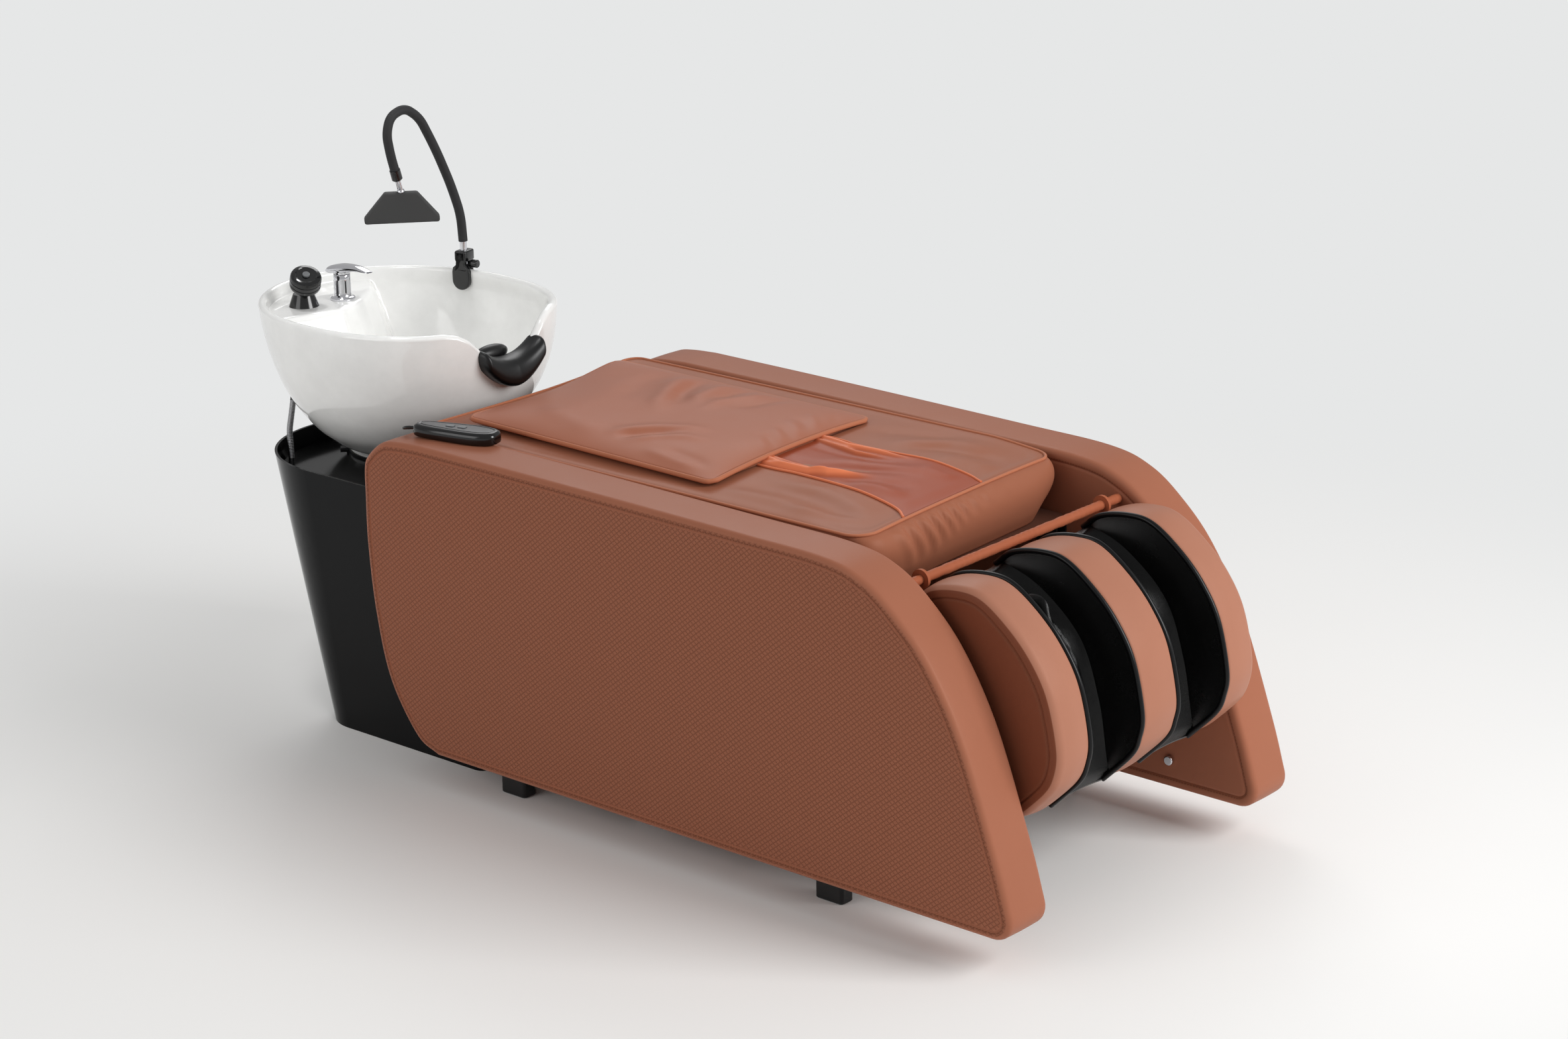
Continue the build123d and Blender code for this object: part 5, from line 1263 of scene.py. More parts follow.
@dataclass
class BackPad:
    """Loose pad over the rear of the seat, with soft folds and a welted edge."""

    corners: Sequence[Point2] = ((-0.334, -0.222), (0.262, -0.239), (0.238, 0.214), (-0.380, 0.226))
    size: Point2 = (0.6, 0.45)
    rounding: float = 0.016
    edge_thick: float = 0.0085
    swell: float = 0.012
    sag: float = 0.013
    setback: float = 0.012
    crown_fall: float = 0.0145
    lift: float = 0.0105
    welt_radius: float = 0.0045
    welt_steps: int = 80
    folds: Sequence[Fold] = (
        Fold(((-0.165, 0.205), (-0.161, 0.175), (-0.137, 0.113), (-0.082, 0.009), (-0.02, -0.06)), 0.0208, 0.0056),
        Fold(((-0.125, 0.200), (-0.115, 0.150), (-0.090, 0.080), (-0.035, 0.005)), 0.0182, -0.0049),
        Fold(((-0.060, 0.212), (-0.060, 0.145), (-0.046, 0.076), (0.0, 0.02)), 0.0169, 0.0043),
        Fold(((-0.015, 0.205), (-0.020, 0.14), (-0.010, 0.08)), 0.0156, -0.0032),
        Fold(((0.030, 0.204), (0.023, 0.13), (0.005, 0.071), (0.02, 0.0)), 0.0169, 0.0036),
        Fold(((0.075, 0.200), (0.068, 0.13), (0.055, 0.05)), 0.0169, -0.0026),
        Fold(((-0.215, 0.20), (-0.193, 0.083), (-0.134, -0.032)), 0.0286, -0.0037),
        Fold(((-0.055, -0.178), (-0.03, -0.161), (0.018, -0.113), (0.07, -0.083), (0.13, -0.07)), 0.0182, 0.0045),
        Fold(((-0.02, -0.180), (0.03, -0.145), (0.08, -0.105)), 0.0156, -0.0040),
        Fold(((0.005, -0.190), (0.059, -0.141), (0.102, -0.122), (0.16, -0.115)), 0.0156, 0.0037),
        Fold(((0.10, -0.178), (0.187, -0.193), (0.246, -0.212)), 0.0130, -0.0024),
        Fold(((0.06, -0.195), (0.15, -0.212), (0.23, -0.222)), 0.0130, 0.0023),
        Fold(((-0.25, -0.125), (-0.14, -0.155), (-0.02, -0.19)), 0.0286, 0.0033),
        Fold(((0.17, 0.125), (0.236, 0.073)), 0.0096, 0.0014),
        Fold(((0.18, 0.092), (0.240, 0.045)), 0.0096, -0.0012),
        Fold(((0.17, 0.070), (0.249, 0.016)), 0.0096, 0.0014),
        Fold(((0.18, 0.035), (0.25, -0.010)), 0.0096, -0.0012),
        Fold(((0.18, 0.015), (0.257, -0.034)), 0.0096, 0.0014),
        Fold(((0.19, -0.02), (0.257, -0.062)), 0.0096, -0.0012),
        Fold(((0.19, -0.040), (0.260, -0.087)), 0.0096, 0.0013),
        Fold(((0.20, 0.160), (0.238, 0.120)), 0.0096, -0.0009))

    def flat(self, across: float, along: float) -> Vector:
        """Flat place of a share across and along the pad, with its corners rounded."""
        end = max(0.0, 1 - min(along, 1 - along) / (self.rounding / self.size[0]))
        shrink = self.rounding / self.size[1] * (1 - math.sqrt(max(0.0, 1 - end * end)))
        across = shrink + (1 - 2 * shrink) * across
        near = Vector(self.corners[0]).lerp(Vector(self.corners[1]), along)
        far = Vector(self.corners[3]).lerp(Vector(self.corners[2]), along)
        spot = near.lerp(far, across)
        spot.x += self.setback * 4 * across * (1 - across) * (1 - along) ** 4
        return spot

    def droop(self, across: float, along: float) -> float:
        """How far the pad's rear edge hangs at a place."""
        middle = math.sin(math.pi * min(1.0, across * 1.05)) ** 1.2
        return self.sag * middle * (1 - smooth_step(0.0, 0.30, along))

    def build(self, finishes: Finishes, seat: SeatCushion) -> None:
        """Build the pad and its welt.

        Args:
            finishes: the bed's finishes.
            seat: the cushion that it lies on.
        """
        def level(spot: Vector, across: float, along: float) -> float:
            rest = seat.crown_z - self.crown_fall * (abs(spot.y) / seat.top_half) ** seat.crown_power
            return rest + self.lift - self.droop(across, along)

        def place(u: float, v: float) -> Vector:
            top = u < 0.5
            across = u * 2 if top else 2 - u * 2
            spot = self.flat(across, v)
            plump = (1 - abs(2 * across - 1) ** 6) * (1 - abs(2 * v - 1) ** 9)
            rise = self.edge_thick / 2 + self.swell * plump
            lift = fold_lift(self.folds, spot.x, spot.y) * plump ** 0.4
            z = level(spot, across, v) + (rise + lift if top else -self.edge_thick / 2 - 0.001 * plump)
            return Vector((spot.x, spot.y, z))

        pad = Bench.woven("back_pad_cover", 260, 170, place, span=(0.9, 0.62))
        Bench.hand_over(pad, "bed", "brown_leather", finishes.pad, ("back_pad",))
        run = []
        turns = ((0, 0), (0, 1), (1, 1), (1, 0), (0, 0))
        for (a0, l0), (a1, l1) in zip(turns, turns[1:]):
            for step in range(self.welt_steps):
                across, along = a0 + (a1 - a0) * step / self.welt_steps, l0 + (l1 - l0) * step / self.welt_steps
                spot = self.flat(across, along)
                spot = Vector((spot.x, spot.y, level(spot, across, along)))
                if not run or (spot - run[-1]).length > 0.0012:
                    run.append(spot)
        welt = Bench.piping("back_pad_welt", run, self.welt_radius, closed=True)
        Bench.hand_over(welt, "bed", "brown_leather", finishes.piping)


@dataclass
class HingeBar:
    """Leather wrapped bar that the leg unit turns about."""

    x: float = 0.72
    z: float = 0.572
    half: float = 0.2965
    radius: float = 0.0085

    def build(self, finishes: Finishes) -> None:
        """Build the bar with the fine creases of its wrap."""
        def place(u: float, v: float) -> Vector:
            crease = 0.00025 * math.sin(v * 190 + 4 * math.sin(v * 23)) + 0.0002 * math.sin(v * 71)
            radius, turn = self.radius + crease, 2 * math.pi * u
            return Vector((self.x + radius * math.cos(turn), -self.half + 2 * self.half * v,
                           self.z + radius * math.sin(turn)))

        bar = Bench.woven("bar_wrap", 28, 200, place, span=(0.053, 0.59))
        Bench.hand_over(bar, "bed", "brown_leather", finishes.bar, ("front_bar",), angle=60)


@dataclass
class LegUnit:
    """Leg unit: three upholstered ribs with two cloth wells between them."""

    rear_x: float = 0.7225
    length: float = 0.2975
    low_z: float = 0.205
    height: float = 0.383
    outer: Sequence[Point2] = ((0.0, 0.896), (0.12, 0.968), (0.312, 1.0), (0.48, 0.985), (0.671, 0.885),
                               (0.82, 0.765), (0.933, 0.614), (1.0, 0.392), (0.985, 0.28), (0.933, 0.191),
                               (0.748, 0.044))
    trough: Sequence[Point2] = ((0.0, 0.872), (0.262, 0.785), (0.513, 0.614), (0.631, 0.379), (0.685, 0.17),
                                (0.723, 0.0425))
    underside: Sequence[Point2] = ((0.84, 0.2145), (0.7265, 0.206))
    rear_foot: Point2 = (0.7225, 0.21)
    centre_half: float = 0.0478
    centre_arris: Point2 = (0.008, 0.008)
    rib_gap: float = 0.0485
    rib_start: float = 0.1972
    rib_end: float = 0.28
    rib_swell: float = 0.0022
    arris: Point2 = (0.009, 0.017)
    seam: float = 0.0215
    seam_depth: float = 0.0021
    stitches: tuple[float, float] = (0.0181, 0.0247)
    binding: float = 0.0048
    binding_depth: float = 0.0036
    binding_out: float = 0.0025
    trim_radius: float = 0.0015
    trim_steps: int = 12
    well_clearance: float = 0.0006
    well_steps: int = 120
    well_folds: Sequence[Fold] = (
        Fold(((0.10, 0.30), (0.36, 0.40), (0.60, 0.52), (0.80, 0.58)), 0.050, 0.026),
        Fold(((0.16, 0.46), (0.40, 0.28), (0.70, 0.20)), 0.045, 0.020),
        Fold(((0.30, 0.62), (0.60, 0.72), (0.92, 0.62)), 0.050, 0.022),
        Fold(((0.55, 0.40), (0.78, 0.34), (0.97, 0.40)), 0.040, 0.018),
        Fold(((0.10, 0.62), (0.35, 0.56), (0.55, 0.66)), 0.040, -0.010),
        Fold(((0.62, 0.52), (0.98, 0.50)), 0.040, 0.012))

    def spot(self, share: Point2, growth: float = 0.0) -> Point2:
        """Place of an outline share, moved out by a growth."""
        return (self.rear_x + self.length * share[0] + growth * 0.8,
                self.low_z + self.height * share[1] + growth * 0.6)

    def curve(self, growth: float = 0.0) -> list[Vector]:
        """Outer curve of the ribs."""
        return through([self.spot(share, growth) for share in self.outer])

    def build(self, finishes: Finishes) -> None:
        """Build ribs, wells, bindings and the trim below."""
        self._outer_ribs(finishes)
        self._centre_rib(finishes)
        self._wells(finishes)
        self._bindings(finishes)

    def _outer_ribs(self, finishes: Finishes) -> None:
        """Build the two outer ribs."""
        outline = self.curve()
        outline += through([self.spot(self.outer[-1]), *self.underside])[1:]
        outline += through([self.rear_foot, self.spot(self.outer[0])])[:-1]
        outline = even(eased(even(outline, 300), 14), 300)
        section = slab_section(self.rib_end - self.rib_start, self.arris, (None, self.seam), self.seam_depth,
                               self.rib_swell)
        for side, name in SIDES:
            slab = Slab(outline, section, self.rib_start, side)
            rows = tuple(slab.map_place(row, True) for row in self.stitches)
            rib = slab.make(f"{name}_rib_cover")
            Bench.hand_over(rib, "leg_unit", "brown_leather", finishes.sewn(Finishes.RIB, rows), (f"{name}_rib",),
                            angle=50)

    def _centre_rib(self, finishes: Finishes) -> None:
        """Build the centre rib between the wells."""
        outline = even([*self.curve()[:-1], *reversed(through([self.spot(s, 0.0006) for s in self.trough]))], 240)
        thick = 2 * self.centre_half
        section = slab_section(thick, self.centre_arris, (None, None), 0.0, self.rib_swell)[1:-1]
        rib = Slab(outline, section, -thick / 2).make("centre_rib_cover")
        Bench.hand_over(rib, "leg_unit", "brown_leather", finishes.middle_rib, ("centre_rib",), angle=50)

    def _wells(self, finishes: Finishes) -> None:
        """Build the two cloth wells, with walls, floor and long creases."""
        last = self.well_steps - 1
        floor = even(through([self.spot(s, 0.007) for s in self.trough]), self.well_steps, closed=False)
        top = even(self.curve(-0.006), self.well_steps, closed=False)
        start, end = self.rib_gap + self.well_clearance, self.rib_start - self.well_clearance
        for side, name in SIDES:
            def place(u: float, v: float) -> Vector:
                at = min(last, round(v * last))
                low, high = floor[at], top[at]
                if u < 0.25 or u > 0.75:
                    share, foot, slack = ((0.25 - u) / 0.25, start, 0.004) if u < 0.25 else (
                        (u - 0.75) / 0.25, end, -0.004)
                    spot = low.lerp(high, share * 0.97)
                    across = foot + slack * math.sin(math.pi * share) ** 2 * (1 - share)
                    return Vector((spot.x, side * across, spot.y))
                share = (u - 0.25) * 2
                edge = 4 * share * (1 - share)
                rise = 0.004 + 0.012 * (1 - edge) ** 2 + fold_lift(self.well_folds, v, share) * edge
                spot = low.lerp(high, min(0.9, max(0.0, rise / max(0.02, (high - low).length))))
                return Vector((spot.x, side * (start + (end - start) * share), spot.y))

            well = Bench.woven(f"{name}_well_cloth", self.well_steps, last, place, closed=False, span=(0.4, 0.45))
            Bench.modify(well, "SOLIDIFY", thickness=0.0012, offset=0.0)
            Bench.hand_over(well, "leg_unit", "well_fabric", finishes.satin, (f"{name}_well_liner",), angle=60)

    def _bindings(self, finishes: Finishes) -> None:
        """Build the black bindings along the wells and the grey trim below them."""
        line = even(self.curve(-self.binding_depth), 160, closed=False)
        for side, name in SIDES:
            for tag, across in (("inner", self.rib_gap + self.binding_out),
                                ("outer", self.rib_start - self.binding_out)):
                run = [Vector((p.x, side * across, p.y)) for p in line]
                cord = Bench.piping(f"{name}_{tag}_binding", run, self.binding, sides=5)
                Bench.hand_over(cord, "leg_unit", "well_fabric", finishes.binding)
            (x, z), (low_x, low_z) = self.spot(self.outer[-1], -0.002), self.spot(self.trough[-1], 0.004)
            trim = [Vector((x, side * self.rib_gap, z))]
            for step in range(self.trim_steps + 1):
                share = step / self.trim_steps
                across = self.rib_gap + (self.rib_start - self.rib_gap) * share
                sag = 4 * share * (1 - share)
                trim.append(Vector((x + (low_x - x) * sag, side * across, z + (low_z - z) * sag - 0.001)))
            trim.append(Vector((x, side * self.rib_start, z)))
            edge = Bench.piping(f"{name}_well_trim", trim, self.trim_radius)
            Bench.hand_over(edge, "leg_unit", "well_fabric", finishes.grey_trim)


@dataclass
class BasinShell:
    """Egg-shaped glazed basin with a thick rim, a shelf at its rear and a neck dip."""

    centre_x: float = -0.73
    half_length: float = 0.290
    half_width: float = 0.257
    base_z: float = 0.473
    rim_z: float = 0.758
    rim_radius: float = 0.0085
    wall: float = 0.0135
    floor_rise: float = 0.020
    foot_x: float = -0.74
    foot_radius: float = 0.106
    foot_recess: float = 0.088
    foot_depth: float = 0.007
    drain_radius: float = 0.029
    shelf_z: float = 0.735
    shelf_slope: float = 3.49
    soft_edge: float = 0.003
    shelf_fillet: float = 0.005
    drain_fall: float = 0.003
    dip_from_x: float = -0.62
    columns: int = 288
    outer_steps: int = 44
    bead_steps: int = 14
    bowl_steps: int = 120
    floor_steps: int = 60
    inner_points: int = 110
    heights: Sequence[float] = (0.0, 0.095, 0.235, 0.41, 0.62, 0.83, 1.0)
    rears: Sequence[float] = (0.403, 0.531, 0.638, 0.762, 0.876, 0.962, 1.0)
    fronts: Sequence[float] = (0.338, 0.566, 0.755, 0.89, 0.972, 1.0, 1.0)
    sides: Sequence[float] = (0.42, 0.611, 0.763, 0.891, 0.969, 1.0, 1.0)
    dip: Sequence[Point2] = ((0.0, 0.685), (0.020, 0.6855), (0.040, 0.690), (0.060, 0.704), (0.078, 0.722),
                             (0.098, 0.741), (0.120, 0.753), (0.146, 0.758))
    shelf: Sequence[Point2] = ((-1.06, -0.30), (-0.88, -0.30), (-0.848, -0.157), (-0.833, -0.114), (-0.825, -0.064),
                               (-0.84, -0.02), (-0.857, 0.018), (-0.895, 0.077), (-0.914, 0.100),
                               (-0.935, 0.118), (-0.964, 0.137), (-1.06, 0.17))

    def ring(self, angle: float, share: float, growth: float) -> Vector:
        """Place on the basin's section at an angle and a share of its height."""
        forward = math.cos(angle) > 0
        power = 1 / (1 + 0.25 * share) if forward else 1.0
        reach = self.half_length * self.smoothed(self.fronts if forward else self.rears, share) + growth
        side = self.half_width * self.smoothed(self.sides, share) + growth
        along, across = squared_round(angle, power, power)
        return Vector((self.centre_x + reach * along, side * across))

    def smoothed(self, values: Sequence[float], share: float) -> float:
        """Read a table of the sections with its corners smoothed."""
        spread = min(0.09, share, 1 - share)
        return sum(table(self.heights, values, share + spread * k / 3) for k in (-3, -2, -1, 0, 1, 2, 3)) / 7

    def rim_share(self, angle: float) -> float:
        """Share of the height at which the rim lies at an angle, with the neck dip."""
        share = 1.0
        for _ in range(8):
            spot = self.ring(angle, share, 0.0)
            if spot.x < self.dip_from_x:
                return 1.0
            share = (table(*zip(*self.dip), abs(spot.y)) - self.base_z) / (self.rim_z - self.base_z)
        return share

    def shelf_level(self, spot: Vector) -> float:
        """Height of the shelf, or of its wall, over a place in the bowl."""
        near, inside = math.inf, False
        for (x0, y0), (x1, y1) in zip(self.shelf, [*self.shelf[1:], self.shelf[0]]):
            run = Vector((x1 - x0, y1 - y0))
            along = min(1.0, max(0.0, (spot - Vector((x0, y0))).dot(run) / run.length_squared))
            near = min(near, (spot - Vector((x0, y0)) - run * along).length)
            if (y0 > spot.y) != (y1 > spot.y) and spot.x < x0 + (spot.y - y0) * (x1 - x0) / (y1 - y0):
                inside = not inside
        away = (-near if inside else near) / self.soft_edge
        soft = self.soft_edge * (away if away > 30 else math.log(1 + math.exp(away)))
        return self.shelf_z - self.shelf_slope * soft

    def column(self, angle: float) -> list[Vector]:
        """One line over the basin from its foot over the rim to the drain."""
        depth, rim = self.rim_z - self.base_z, self.rim_share(angle)
        way = Vector((math.cos(angle), math.sin(angle)))
        foot = Vector((self.foot_x, 0.0))
        low = self.base_z - self.foot_depth
        outer = []
        for radius, z in ((self.foot_recess, self.base_z), (self.foot_recess, low), (self.foot_radius - 0.0015, low),
                          (self.foot_radius, low + 0.0015), (self.foot_radius, self.base_z - 0.001)):
            spot = foot + way * radius
            outer.append(Vector((spot.x, spot.y, z)))
        top_z = self.base_z + depth * rim
        bead_z = top_z - self.rim_radius
        for step in range(self.outer_steps + 1):
            share = (bead_z - self.base_z) / depth * step / self.outer_steps
            spot = self.ring(angle, share, 0.0)
            outer.append(Vector((spot.x, spot.y, self.base_z + depth * share)))
        edge = self.ring(angle, rim, 0.0)
        near = self.ring(angle, rim, -2 * self.rim_radius)
        middle, half = (edge + near) / 2, (edge - near) / 2
        bead = []
        for step in range(1, self.bead_steps):
            turn = math.pi * step / self.bead_steps
            spot = middle + half * math.cos(turn)
            bead.append(Vector((spot.x, spot.y, bead_z + self.rim_radius * math.sin(turn))))
        inner = []
        for step in range(self.bowl_steps + 1):
            share = rim * (1 - step / self.bowl_steps)
            growth = -self.wall - (2 * self.rim_radius - self.wall) * smooth_step(rim - 0.12, rim, share)
            spot = self.ring(angle, share, growth)
            z = self.base_z + depth * share + self.floor_rise * (1 - share) - self.rim_radius * share
            inner.append(Vector((spot.x, spot.y, z)))
        last = inner[-1]
        for step in range(1, self.floor_steps + 1):
            share = step / self.floor_steps
            spot = Vector((last.x, last.y)).lerp(foot + way * self.drain_radius, share)
            inner.append(Vector((spot.x, spot.y, last.z - self.drain_fall * share)))
        for spot in inner:
            level = self.shelf_level(Vector((spot.x, spot.y)))
            gap = (spot.z - level) / self.shelf_fillet
            if abs(gap) < 12:
                spot.z = level + self.shelf_fillet * math.log(1 + math.exp(gap))
            else:
                spot.z = max(spot.z, level)
        return outer + bead + even(inner, self.inner_points, closed=False)

    def build(self, finishes: Finishes) -> None:
        """Build the basin."""
        lines = [self.column(2 * math.pi * step / self.columns) for step in range(self.columns)]
        rows = len(lines[0]) - 1

        def place(u: float, v: float) -> Vector:
            return lines[round(u * self.columns) % self.columns][min(rows, round(v * rows))]

        shell = Bench.woven("basin_glazed", self.columns, rows, place, span=(1.7, 0.9))
        Bench.hand_over(shell, "bed", "basin_glaze", finishes.glaze, ("basin",), angle=70)


@dataclass
class NeckRest:
    """Moulded neck rest: a crescent over the dip with a lobe inside the bowl."""

    half: float = 0.080
    middle_z: float = 0.665
    rise: float = 0.041
    half_height: float = 0.0275
    thin: float = 0.0095
    centre_x: float = -0.447
    half_thick: float = 0.029
    narrow: float = 0.005
    tip_from: float = 0.86
    squareness: float = 0.77
    lean: float = 0.006
    lobe_at: Point3 = (-0.484, -0.013, 0.694)
    lobe_size: Point3 = (0.016, 0.042, 0.017)

    def build(self, finishes: Finishes) -> None:
        """Build the crescent and its lobe."""
        def place(u: float, v: float) -> Vector:
            t = 2 * v - 1
            close = math.sqrt(max(0.0, 1 - max(0.0, (abs(t) - self.tip_from) / (1 - self.tip_from)) ** 2))
            height = (self.half_height - self.thin * abs(t) ** 1.5) * close
            thick = (self.half_thick - self.narrow * abs(t)) * close
            along, up = squared_round(2 * math.pi * u, self.squareness, self.squareness)
            lean = -self.lean * up * height / self.half_height
            return Vector((self.centre_x + thick * along + lean, self.half * t,
                           self.middle_z + self.rise * t * t + height * up))

        rest = Bench.woven("neck_rest_crescent", 72, 110, place, span=(0.17, 0.19))
        Bench.clear()
        bpy.ops.mesh.primitive_uv_sphere_add(segments=48, ring_count=32, radius=1, location=self.lobe_at)
        lobe = bpy.context.object
        lobe.scale = self.lobe_size
        Bench.settle(lobe)
        rest = Bench.join("neck_rest_moulded", [rest, lobe])
        Bench.hand_over(rest, "bed", "black_rubber", finishes.rubber, ("neck_rest",))


@dataclass
class Fittings:
    """What stands on the basin's shelf and rim: lever, hand shower, clamp and spray head."""

    mixer_y: float = -0.010
    lever_top: Sequence[Point2] = ((-0.925, 0.7855), (-0.918, 0.7935), (-0.905, 0.800), (-0.878, 0.8055),
                                   (-0.84, 0.8065), (-0.812, 0.801), (-0.8055, 0.798))
    lever_low: Sequence[Point2] = ((-0.925, 0.7825), (-0.918, 0.7825), (-0.905, 0.7830), (-0.878, 0.7885),
                                   (-0.84, 0.7955), (-0.812, 0.7965), (-0.8055, 0.7972))
    lever_half: Sequence[float] = (0.006, 0.0115, 0.0165, 0.0165, 0.0120, 0.0090, 0.0070)
    lever_squareness: Point2 = (0.7, 0.85)
    shower_at: Point3 = (-0.905, -0.092, 0.7494)
    shower_lean: Point3 = (0.45, -0.25, 0.857)
    shower_profile: Sequence[Point2] = (
        (0.0085, -0.003), (0.0092, 0.014), (0.0105, 0.019), (0.0165, 0.0225), (0.0245, 0.0290), (0.0290, 0.0335),
        (0.0300, 0.0365), (0.0300, 0.0405), (0.0288, 0.0412), (0.0288, 0.0424), (0.0300, 0.0431), (0.0300, 0.0500),
        (0.0288, 0.0507), (0.0288, 0.0519), (0.0300, 0.0526), (0.0298, 0.0565), (0.0282, 0.0598), (0.0250, 0.0618),
        (0.0205, 0.0627), (0.0190, 0.0616), (0.0120, 0.0612), (0.0074, 0.0612), (0.0073, 0.0590))
    body_profile: Sequence[Point2] = ((0.0238, 0.0), (0.0245, 0.0010), (0.0245, 0.0035), (0.0228, 0.0055),
                                      (0.0186, 0.0066), (0.0172, 0.0090), (0.0168, 0.0150), (0.0165, 0.0380),
                                      (0.0163, 0.0490), (0.0158, 0.0498))
    cap_profile: Sequence[Point2] = ((0.0158, 0.0503), (0.0165, 0.0510), (0.0170, 0.0540), (0.0171, 0.0570),
                                     (0.0164, 0.0600), (0.0148, 0.0616), (0.0110, 0.0621), (0.0050, 0.0622))
    shelf_z: float = BasinShell.shelf_z
    mixer_x: float = -0.885
    clamp_at: Point3 = (-0.806, 0.248, 0.758)
    clamp_turn: float = 13.5
    jaw_half: float = 0.0195
    jaw_round_z: float = -0.0205
    jaw_thick: float = 0.0105
    jaw_arris: Point2 = (0.0024, 0.0024)
    back_thick: float = 0.0075
    waist_half: float = 0.0125
    clamp_inner: float = -0.0254
    clamp_outer: float = 0.0094
    clamp_neck: float = 0.016
    clamp_top: float = 0.038
    head_grain: float = 0.0016

    def build(self, finishes: Finishes, nodes: dict[str, bpy.types.Object]) -> None:
        """Build the fittings.

        Args:
            finishes: the bed's finishes.
            nodes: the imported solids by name.
        """
        self._mixer(finishes)
        self._lever(finishes)
        self._hand_shower(finishes)
        self._clamp(finishes)
        head = Bench.recast("spray_head_moulded", nodes["spray_head"], self.head_grain, 10)
        Bench.hand_over(head, "spray_head", "black_plastic", finishes.matte_black, ("spray_head",))

    def _mixer(self, finishes: Finishes) -> None:
        """Turn the mixer's body and its swivelling cap."""
        at = (self.mixer_x, self.mixer_y, self.shelf_z)
        for node, profile in (("mixer_body", self.body_profile), ("mixer_cap", self.cap_profile)):
            piece = Bench.turned(f"{node}_turned", profile, at, 64)
            body = "bed" if node == "mixer_body" else node
            Bench.hand_over(piece, body, "chrome", finishes.chrome, (node,), angle=35)

    def _lever(self, finishes: Finishes) -> None:
        """Build the mixer's arched lever."""
        high, low = through(self.lever_top, 10), through(self.lever_low, 10)
        halves = [p.y for p in through([(at, half) for at, half in enumerate(self.lever_half)], 10)]
        rows = len(high) - 1

        def place(u: float, v: float) -> Vector:
            at = min(rows, round(v * rows))
            middle, rise = (high[at] + low[at]) / 2, (high[at] - low[at]) / 2
            across, up = squared_round(2 * math.pi * u, *self.lever_squareness)
            return Vector((middle.x + rise.x * up, self.mixer_y + halves[at] * across, middle.y + rise.y * up))

        lever = Bench.woven("mixer_lever_arched", 40, rows, place)
        Bench.hand_over(lever, "mixer_lever", "chrome", finishes.chrome, ("mixer_lever",))

    def _hand_shower(self, finishes: Finishes) -> None:
        """Turn the hand shower's head with its ring grooves."""
        head = Bench.turned("hand_shower_turned", self.shower_profile, self.shower_at, 72, self.shower_lean)
        Bench.hand_over(head, "hand_shower", "black_plastic", finishes.shine_black, ("hand_shower",), angle=32)

    def _clamp(self, finishes: Finishes) -> None:
        """Build the arm's clamp: a round jaw inside the rim, a waist and a block over it."""
        half, waist = self.jaw_half, self.waist_half
        side = [(half, -0.004), (half - 0.002, 0.004), (waist * 0.8, 0.010), (waist * 0.8, 0.016), (waist, 0.020),
                (waist, 0.035), (waist - 0.003, 0.0375)]
        turns = [math.radians(a) for a in range(-180, 1, 12)]
        arc = [(half * math.cos(turn), self.jaw_round_z + half * math.sin(turn)) for turn in turns]
        outline = even([Vector(p) for p in (*arc, *side, *((-x, z) for x, z in reversed(side)))], 160)
        section = slab_section(self.jaw_thick, self.jaw_arris, (None, None), 0.0)
        jaw = Slab(outline, section, self.clamp_inner).make("clamp_jaw")
        depth, top = self.clamp_outer - self.clamp_inner, self.clamp_top
        block = Bench.block("clamp_block", (2 * waist, depth, top - self.clamp_neck), (
            0.0, self.clamp_inner + depth / 2, (top + self.clamp_neck) / 2), 0.0035)
        back = Bench.block("clamp_back", (1.6 * waist, self.back_thick, top - self.jaw_round_z), (
            0.0, self.clamp_outer - self.back_thick / 2, (top + self.jaw_round_z) / 2), 0.0028)
        clamp = Bench.join("arm_clamp_moulded", [jaw, block, back])
        clamp.matrix_world = Matrix.Translation(self.clamp_at) @ Matrix.Rotation(
            math.radians(self.clamp_turn), 4, "Z")
        Bench.settle(clamp)
        Bench.hand_over(clamp, "bed", "black_plastic", finishes.shine_black, ("arm_clamp",), angle=40)


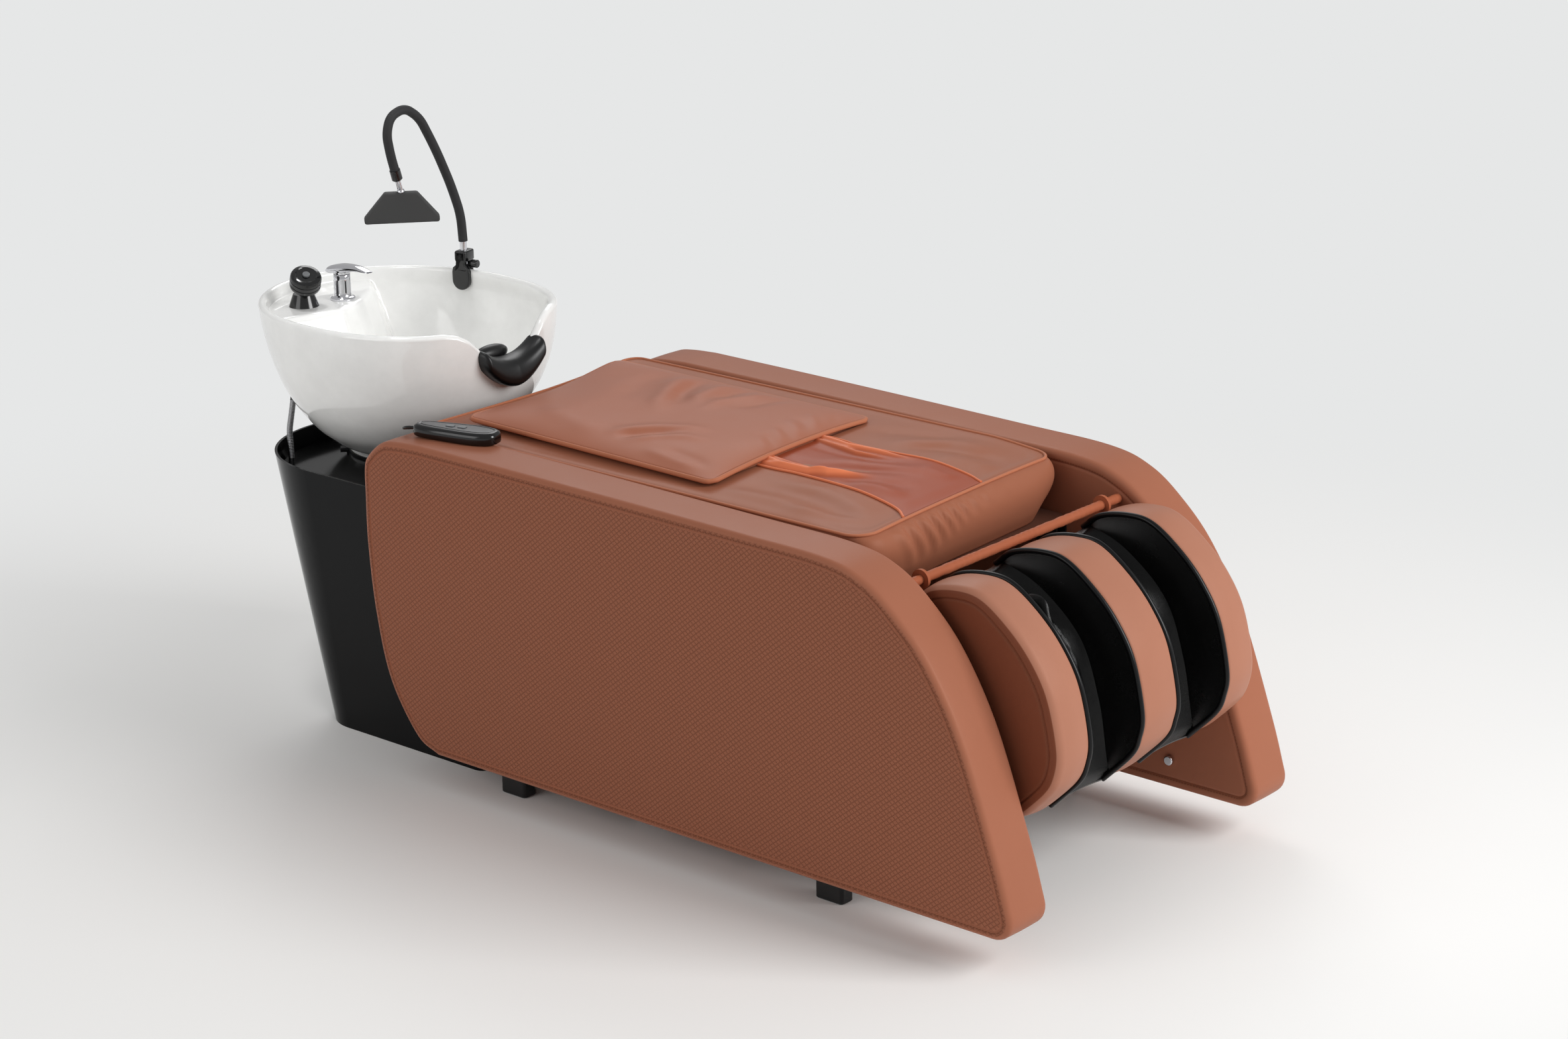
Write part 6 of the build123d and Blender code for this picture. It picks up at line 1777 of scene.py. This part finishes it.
@dataclass
class ShowerHose:
    """Ribbed hose of the hand shower."""

    route: Sequence[Point3] = ((-0.8815, -0.1539, 0.5644), (-0.8777, -0.164, 0.5364), (-0.871, -0.177, 0.512),
                               (-0.862, -0.183, 0.488), (-0.862, -0.183, 0.462))
    radius: float = 0.0062
    pitch: float = 0.0028
    rib_steps: int = 6
    rib_depth: float = 0.0005

    def build(self, finishes: Finishes) -> None:
        """Build the ribbed hose along its route."""
        guide = Bench.curve("hose_route", self.route, "NURBS", resolution_u=24)
        bpy.context.view_layer.update()
        mesh = bpy.data.meshes.new_from_object(guide.evaluated_get(bpy.context.evaluated_depsgraph_get()))
        line = [v.co.copy() for v in mesh.vertices]
        bpy.data.objects.remove(guide)
        length = sum((b - a).length for a, b in zip(line, line[1:]))
        last = self.rib_steps * round(length / self.pitch)
        path = even(line, last + 1, closed=False)
        side = Vector((1, 0, 0))

        def place(u: float, v: float) -> Vector:
            at = min(last, round(v * last))
            run = (path[min(at + 1, last)] - path[max(at - 1, 0)]).normalized()
            first = (side - run * side.dot(run)).normalized()
            second = run.cross(first)
            rib = math.cos(2 * math.pi * (at % self.rib_steps) / self.rib_steps)
            radius = self.radius - self.rib_depth + self.rib_depth * rib
            return path[at] + radius * (first * math.cos(2 * math.pi * u) + second * math.sin(2 * math.pi * u))

        hose = Bench.woven("shower_hose_ribbed", 20, last, place)
        Bench.hand_over(hose, "bed", "steel", finishes.steel, ("shower_hose",))
        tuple(self.route[0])


@dataclass
class Handset:
    """Handset with its moulded case and its cable."""

    at: Point3 = (-0.262, -0.322, 0.6429)
    turn: float = 15.0
    half_length: float = 0.084
    front_half: float = 0.0305
    rear_half: float = 0.0235
    squareness: float = 0.62
    profile: Sequence[Point2] = ((0.009, 0.0), (0.0035, 0.0), (0.001, 0.0012), (0.0, 0.0035), (0.0, 0.0130),
                                 (0.0007, 0.0165), (0.0025, 0.0195), (0.0055, 0.0213), (0.0085, 0.0219),
                                 (0.0100, 0.0219), (0.0108, 0.0211), (0.0118, 0.0211), (0.0126, 0.0219),
                                 (0.0140, 0.0220))
    cable_route: Sequence[Point3] = (
        (-0.3431, -0.3437, 0.6539), (-0.3586, -0.3479, 0.6539), (-0.380, -0.342, 0.645), (-0.383, -0.321, 0.640),
        (-0.366, -0.305, 0.641), (-0.343, -0.300, 0.647), (-0.319, -0.298, 0.649), (-0.300, -0.2944, 0.640),
        (-0.296, -0.2936, 0.620), (-0.296, -0.2936, 0.600))
    cable_radius: float = 0.0023

    def build(self, finishes: Finishes) -> None:
        """Build the case and the cable."""
        self._case(finishes)
        self._cable(finishes)

    def _case(self, finishes: Finishes) -> None:
        """Build the case, narrower towards its cable, with a groove round its top."""
        rows = len(self.profile) - 1

        def place(u: float, v: float) -> Vector:
            inset, height = self.profile[min(rows, round(v * rows))]
            along, across = squared_round(2 * math.pi * u, self.squareness, self.squareness)
            half = self.rear_half + (self.front_half - self.rear_half) * smooth_step(-1.0, 0.6, along)
            return Vector(((self.half_length - inset) * along, (half - inset) * across, height))

        case = Bench.woven("handset_case", 120, rows, place)
        case.matrix_world = Matrix.Translation(self.at) @ Matrix.Rotation(math.radians(self.turn), 4, "Z")
        Bench.settle(case)
        Bench.hand_over(case, "bed", "handset_plastic", finishes.handset, ("handset_body",), angle=50)

    def _cable(self, finishes: Finishes) -> None:
        """Build the cable."""
        cable = Bench.curve("handset_cable_line", self.cable_route, "NURBS", resolution_u=16,
                            bevel_depth=self.cable_radius, bevel_resolution=4, use_fill_caps=True)
        cable.data.materials.append(finishes.rubber)
        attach(cable, "bed")
        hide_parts("handset_cable")
        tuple(self.cable_route[0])


@dataclass
class CarriedParts:
    """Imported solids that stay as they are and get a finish."""

    solids: dict[str, Sequence[str]] = field(default_factory=lambda: {
        "gloss_black": ("pedestal_shell", "pedestal_deck"),
        "chrome": ("drain_flange", "arm_stem", "head_neck", "panel_bolts"),
        "shine_black": ("shower_holder", "clamp_screw", "clamp_knob", "arm_tip"),
        "matte_black": ("actuator_body", "drive_motor", "massage_carriage", "control_box"),
        "foam": ("arm_sleeve",),
        "grey": ("shower_button", "nozzle_plate", "handset_power_key", "handset_lift_key"),
        "rubber": ("feet", "basin_gasket", "cable_grommet"),
        "bar": ("leg_frame",),
        "paint": ("side_rails", "frame_members", "basin_stand", "basin_brackets", "actuator_bracket"),
        "steel": ("actuator_rod", "massage_rails", "lead_screw", "water_inlets"),
        "white": ("waste_trap", "massage_rollers"), "ply": ("seat_board",), "satin": ("leg_core",)})

    def build(self, finishes: Finishes, nodes: dict[str, bpy.types.Object]) -> None:
        """Give each solid its finish.

        Args:
            finishes: the bed's finishes.
            nodes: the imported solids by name.
        """
        for finish, names in self.solids.items():
            for name in names:
                slots = nodes[name].data.materials
                slots.clear()
                slots.append(getattr(finishes, finish))


def main() -> None:
    """Build the studio and dress every part of the bed."""
    logging.basicConfig(level=logging.INFO, format="%(name)s: %(message)s")
    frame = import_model()
    Studio().build()
    finishes = Finishes()
    nodes = frame["nodes"]
    seat = SeatCushion()
    SidePanel().build(finishes)
    seat.build(finishes)
    CentrePanel().build(finishes, seat)
    BackPad().build(finishes, seat)
    HingeBar().build(finishes)
    LegUnit().build(finishes)
    BasinShell().build(finishes)
    NeckRest().build(finishes)
    Fittings().build(finishes, nodes)
    ShowerHose().build(finishes)
    Handset().build(finishes)
    CarriedParts().build(finishes, nodes)
    Bench.clear()


if __name__ == "__main__":
    main()
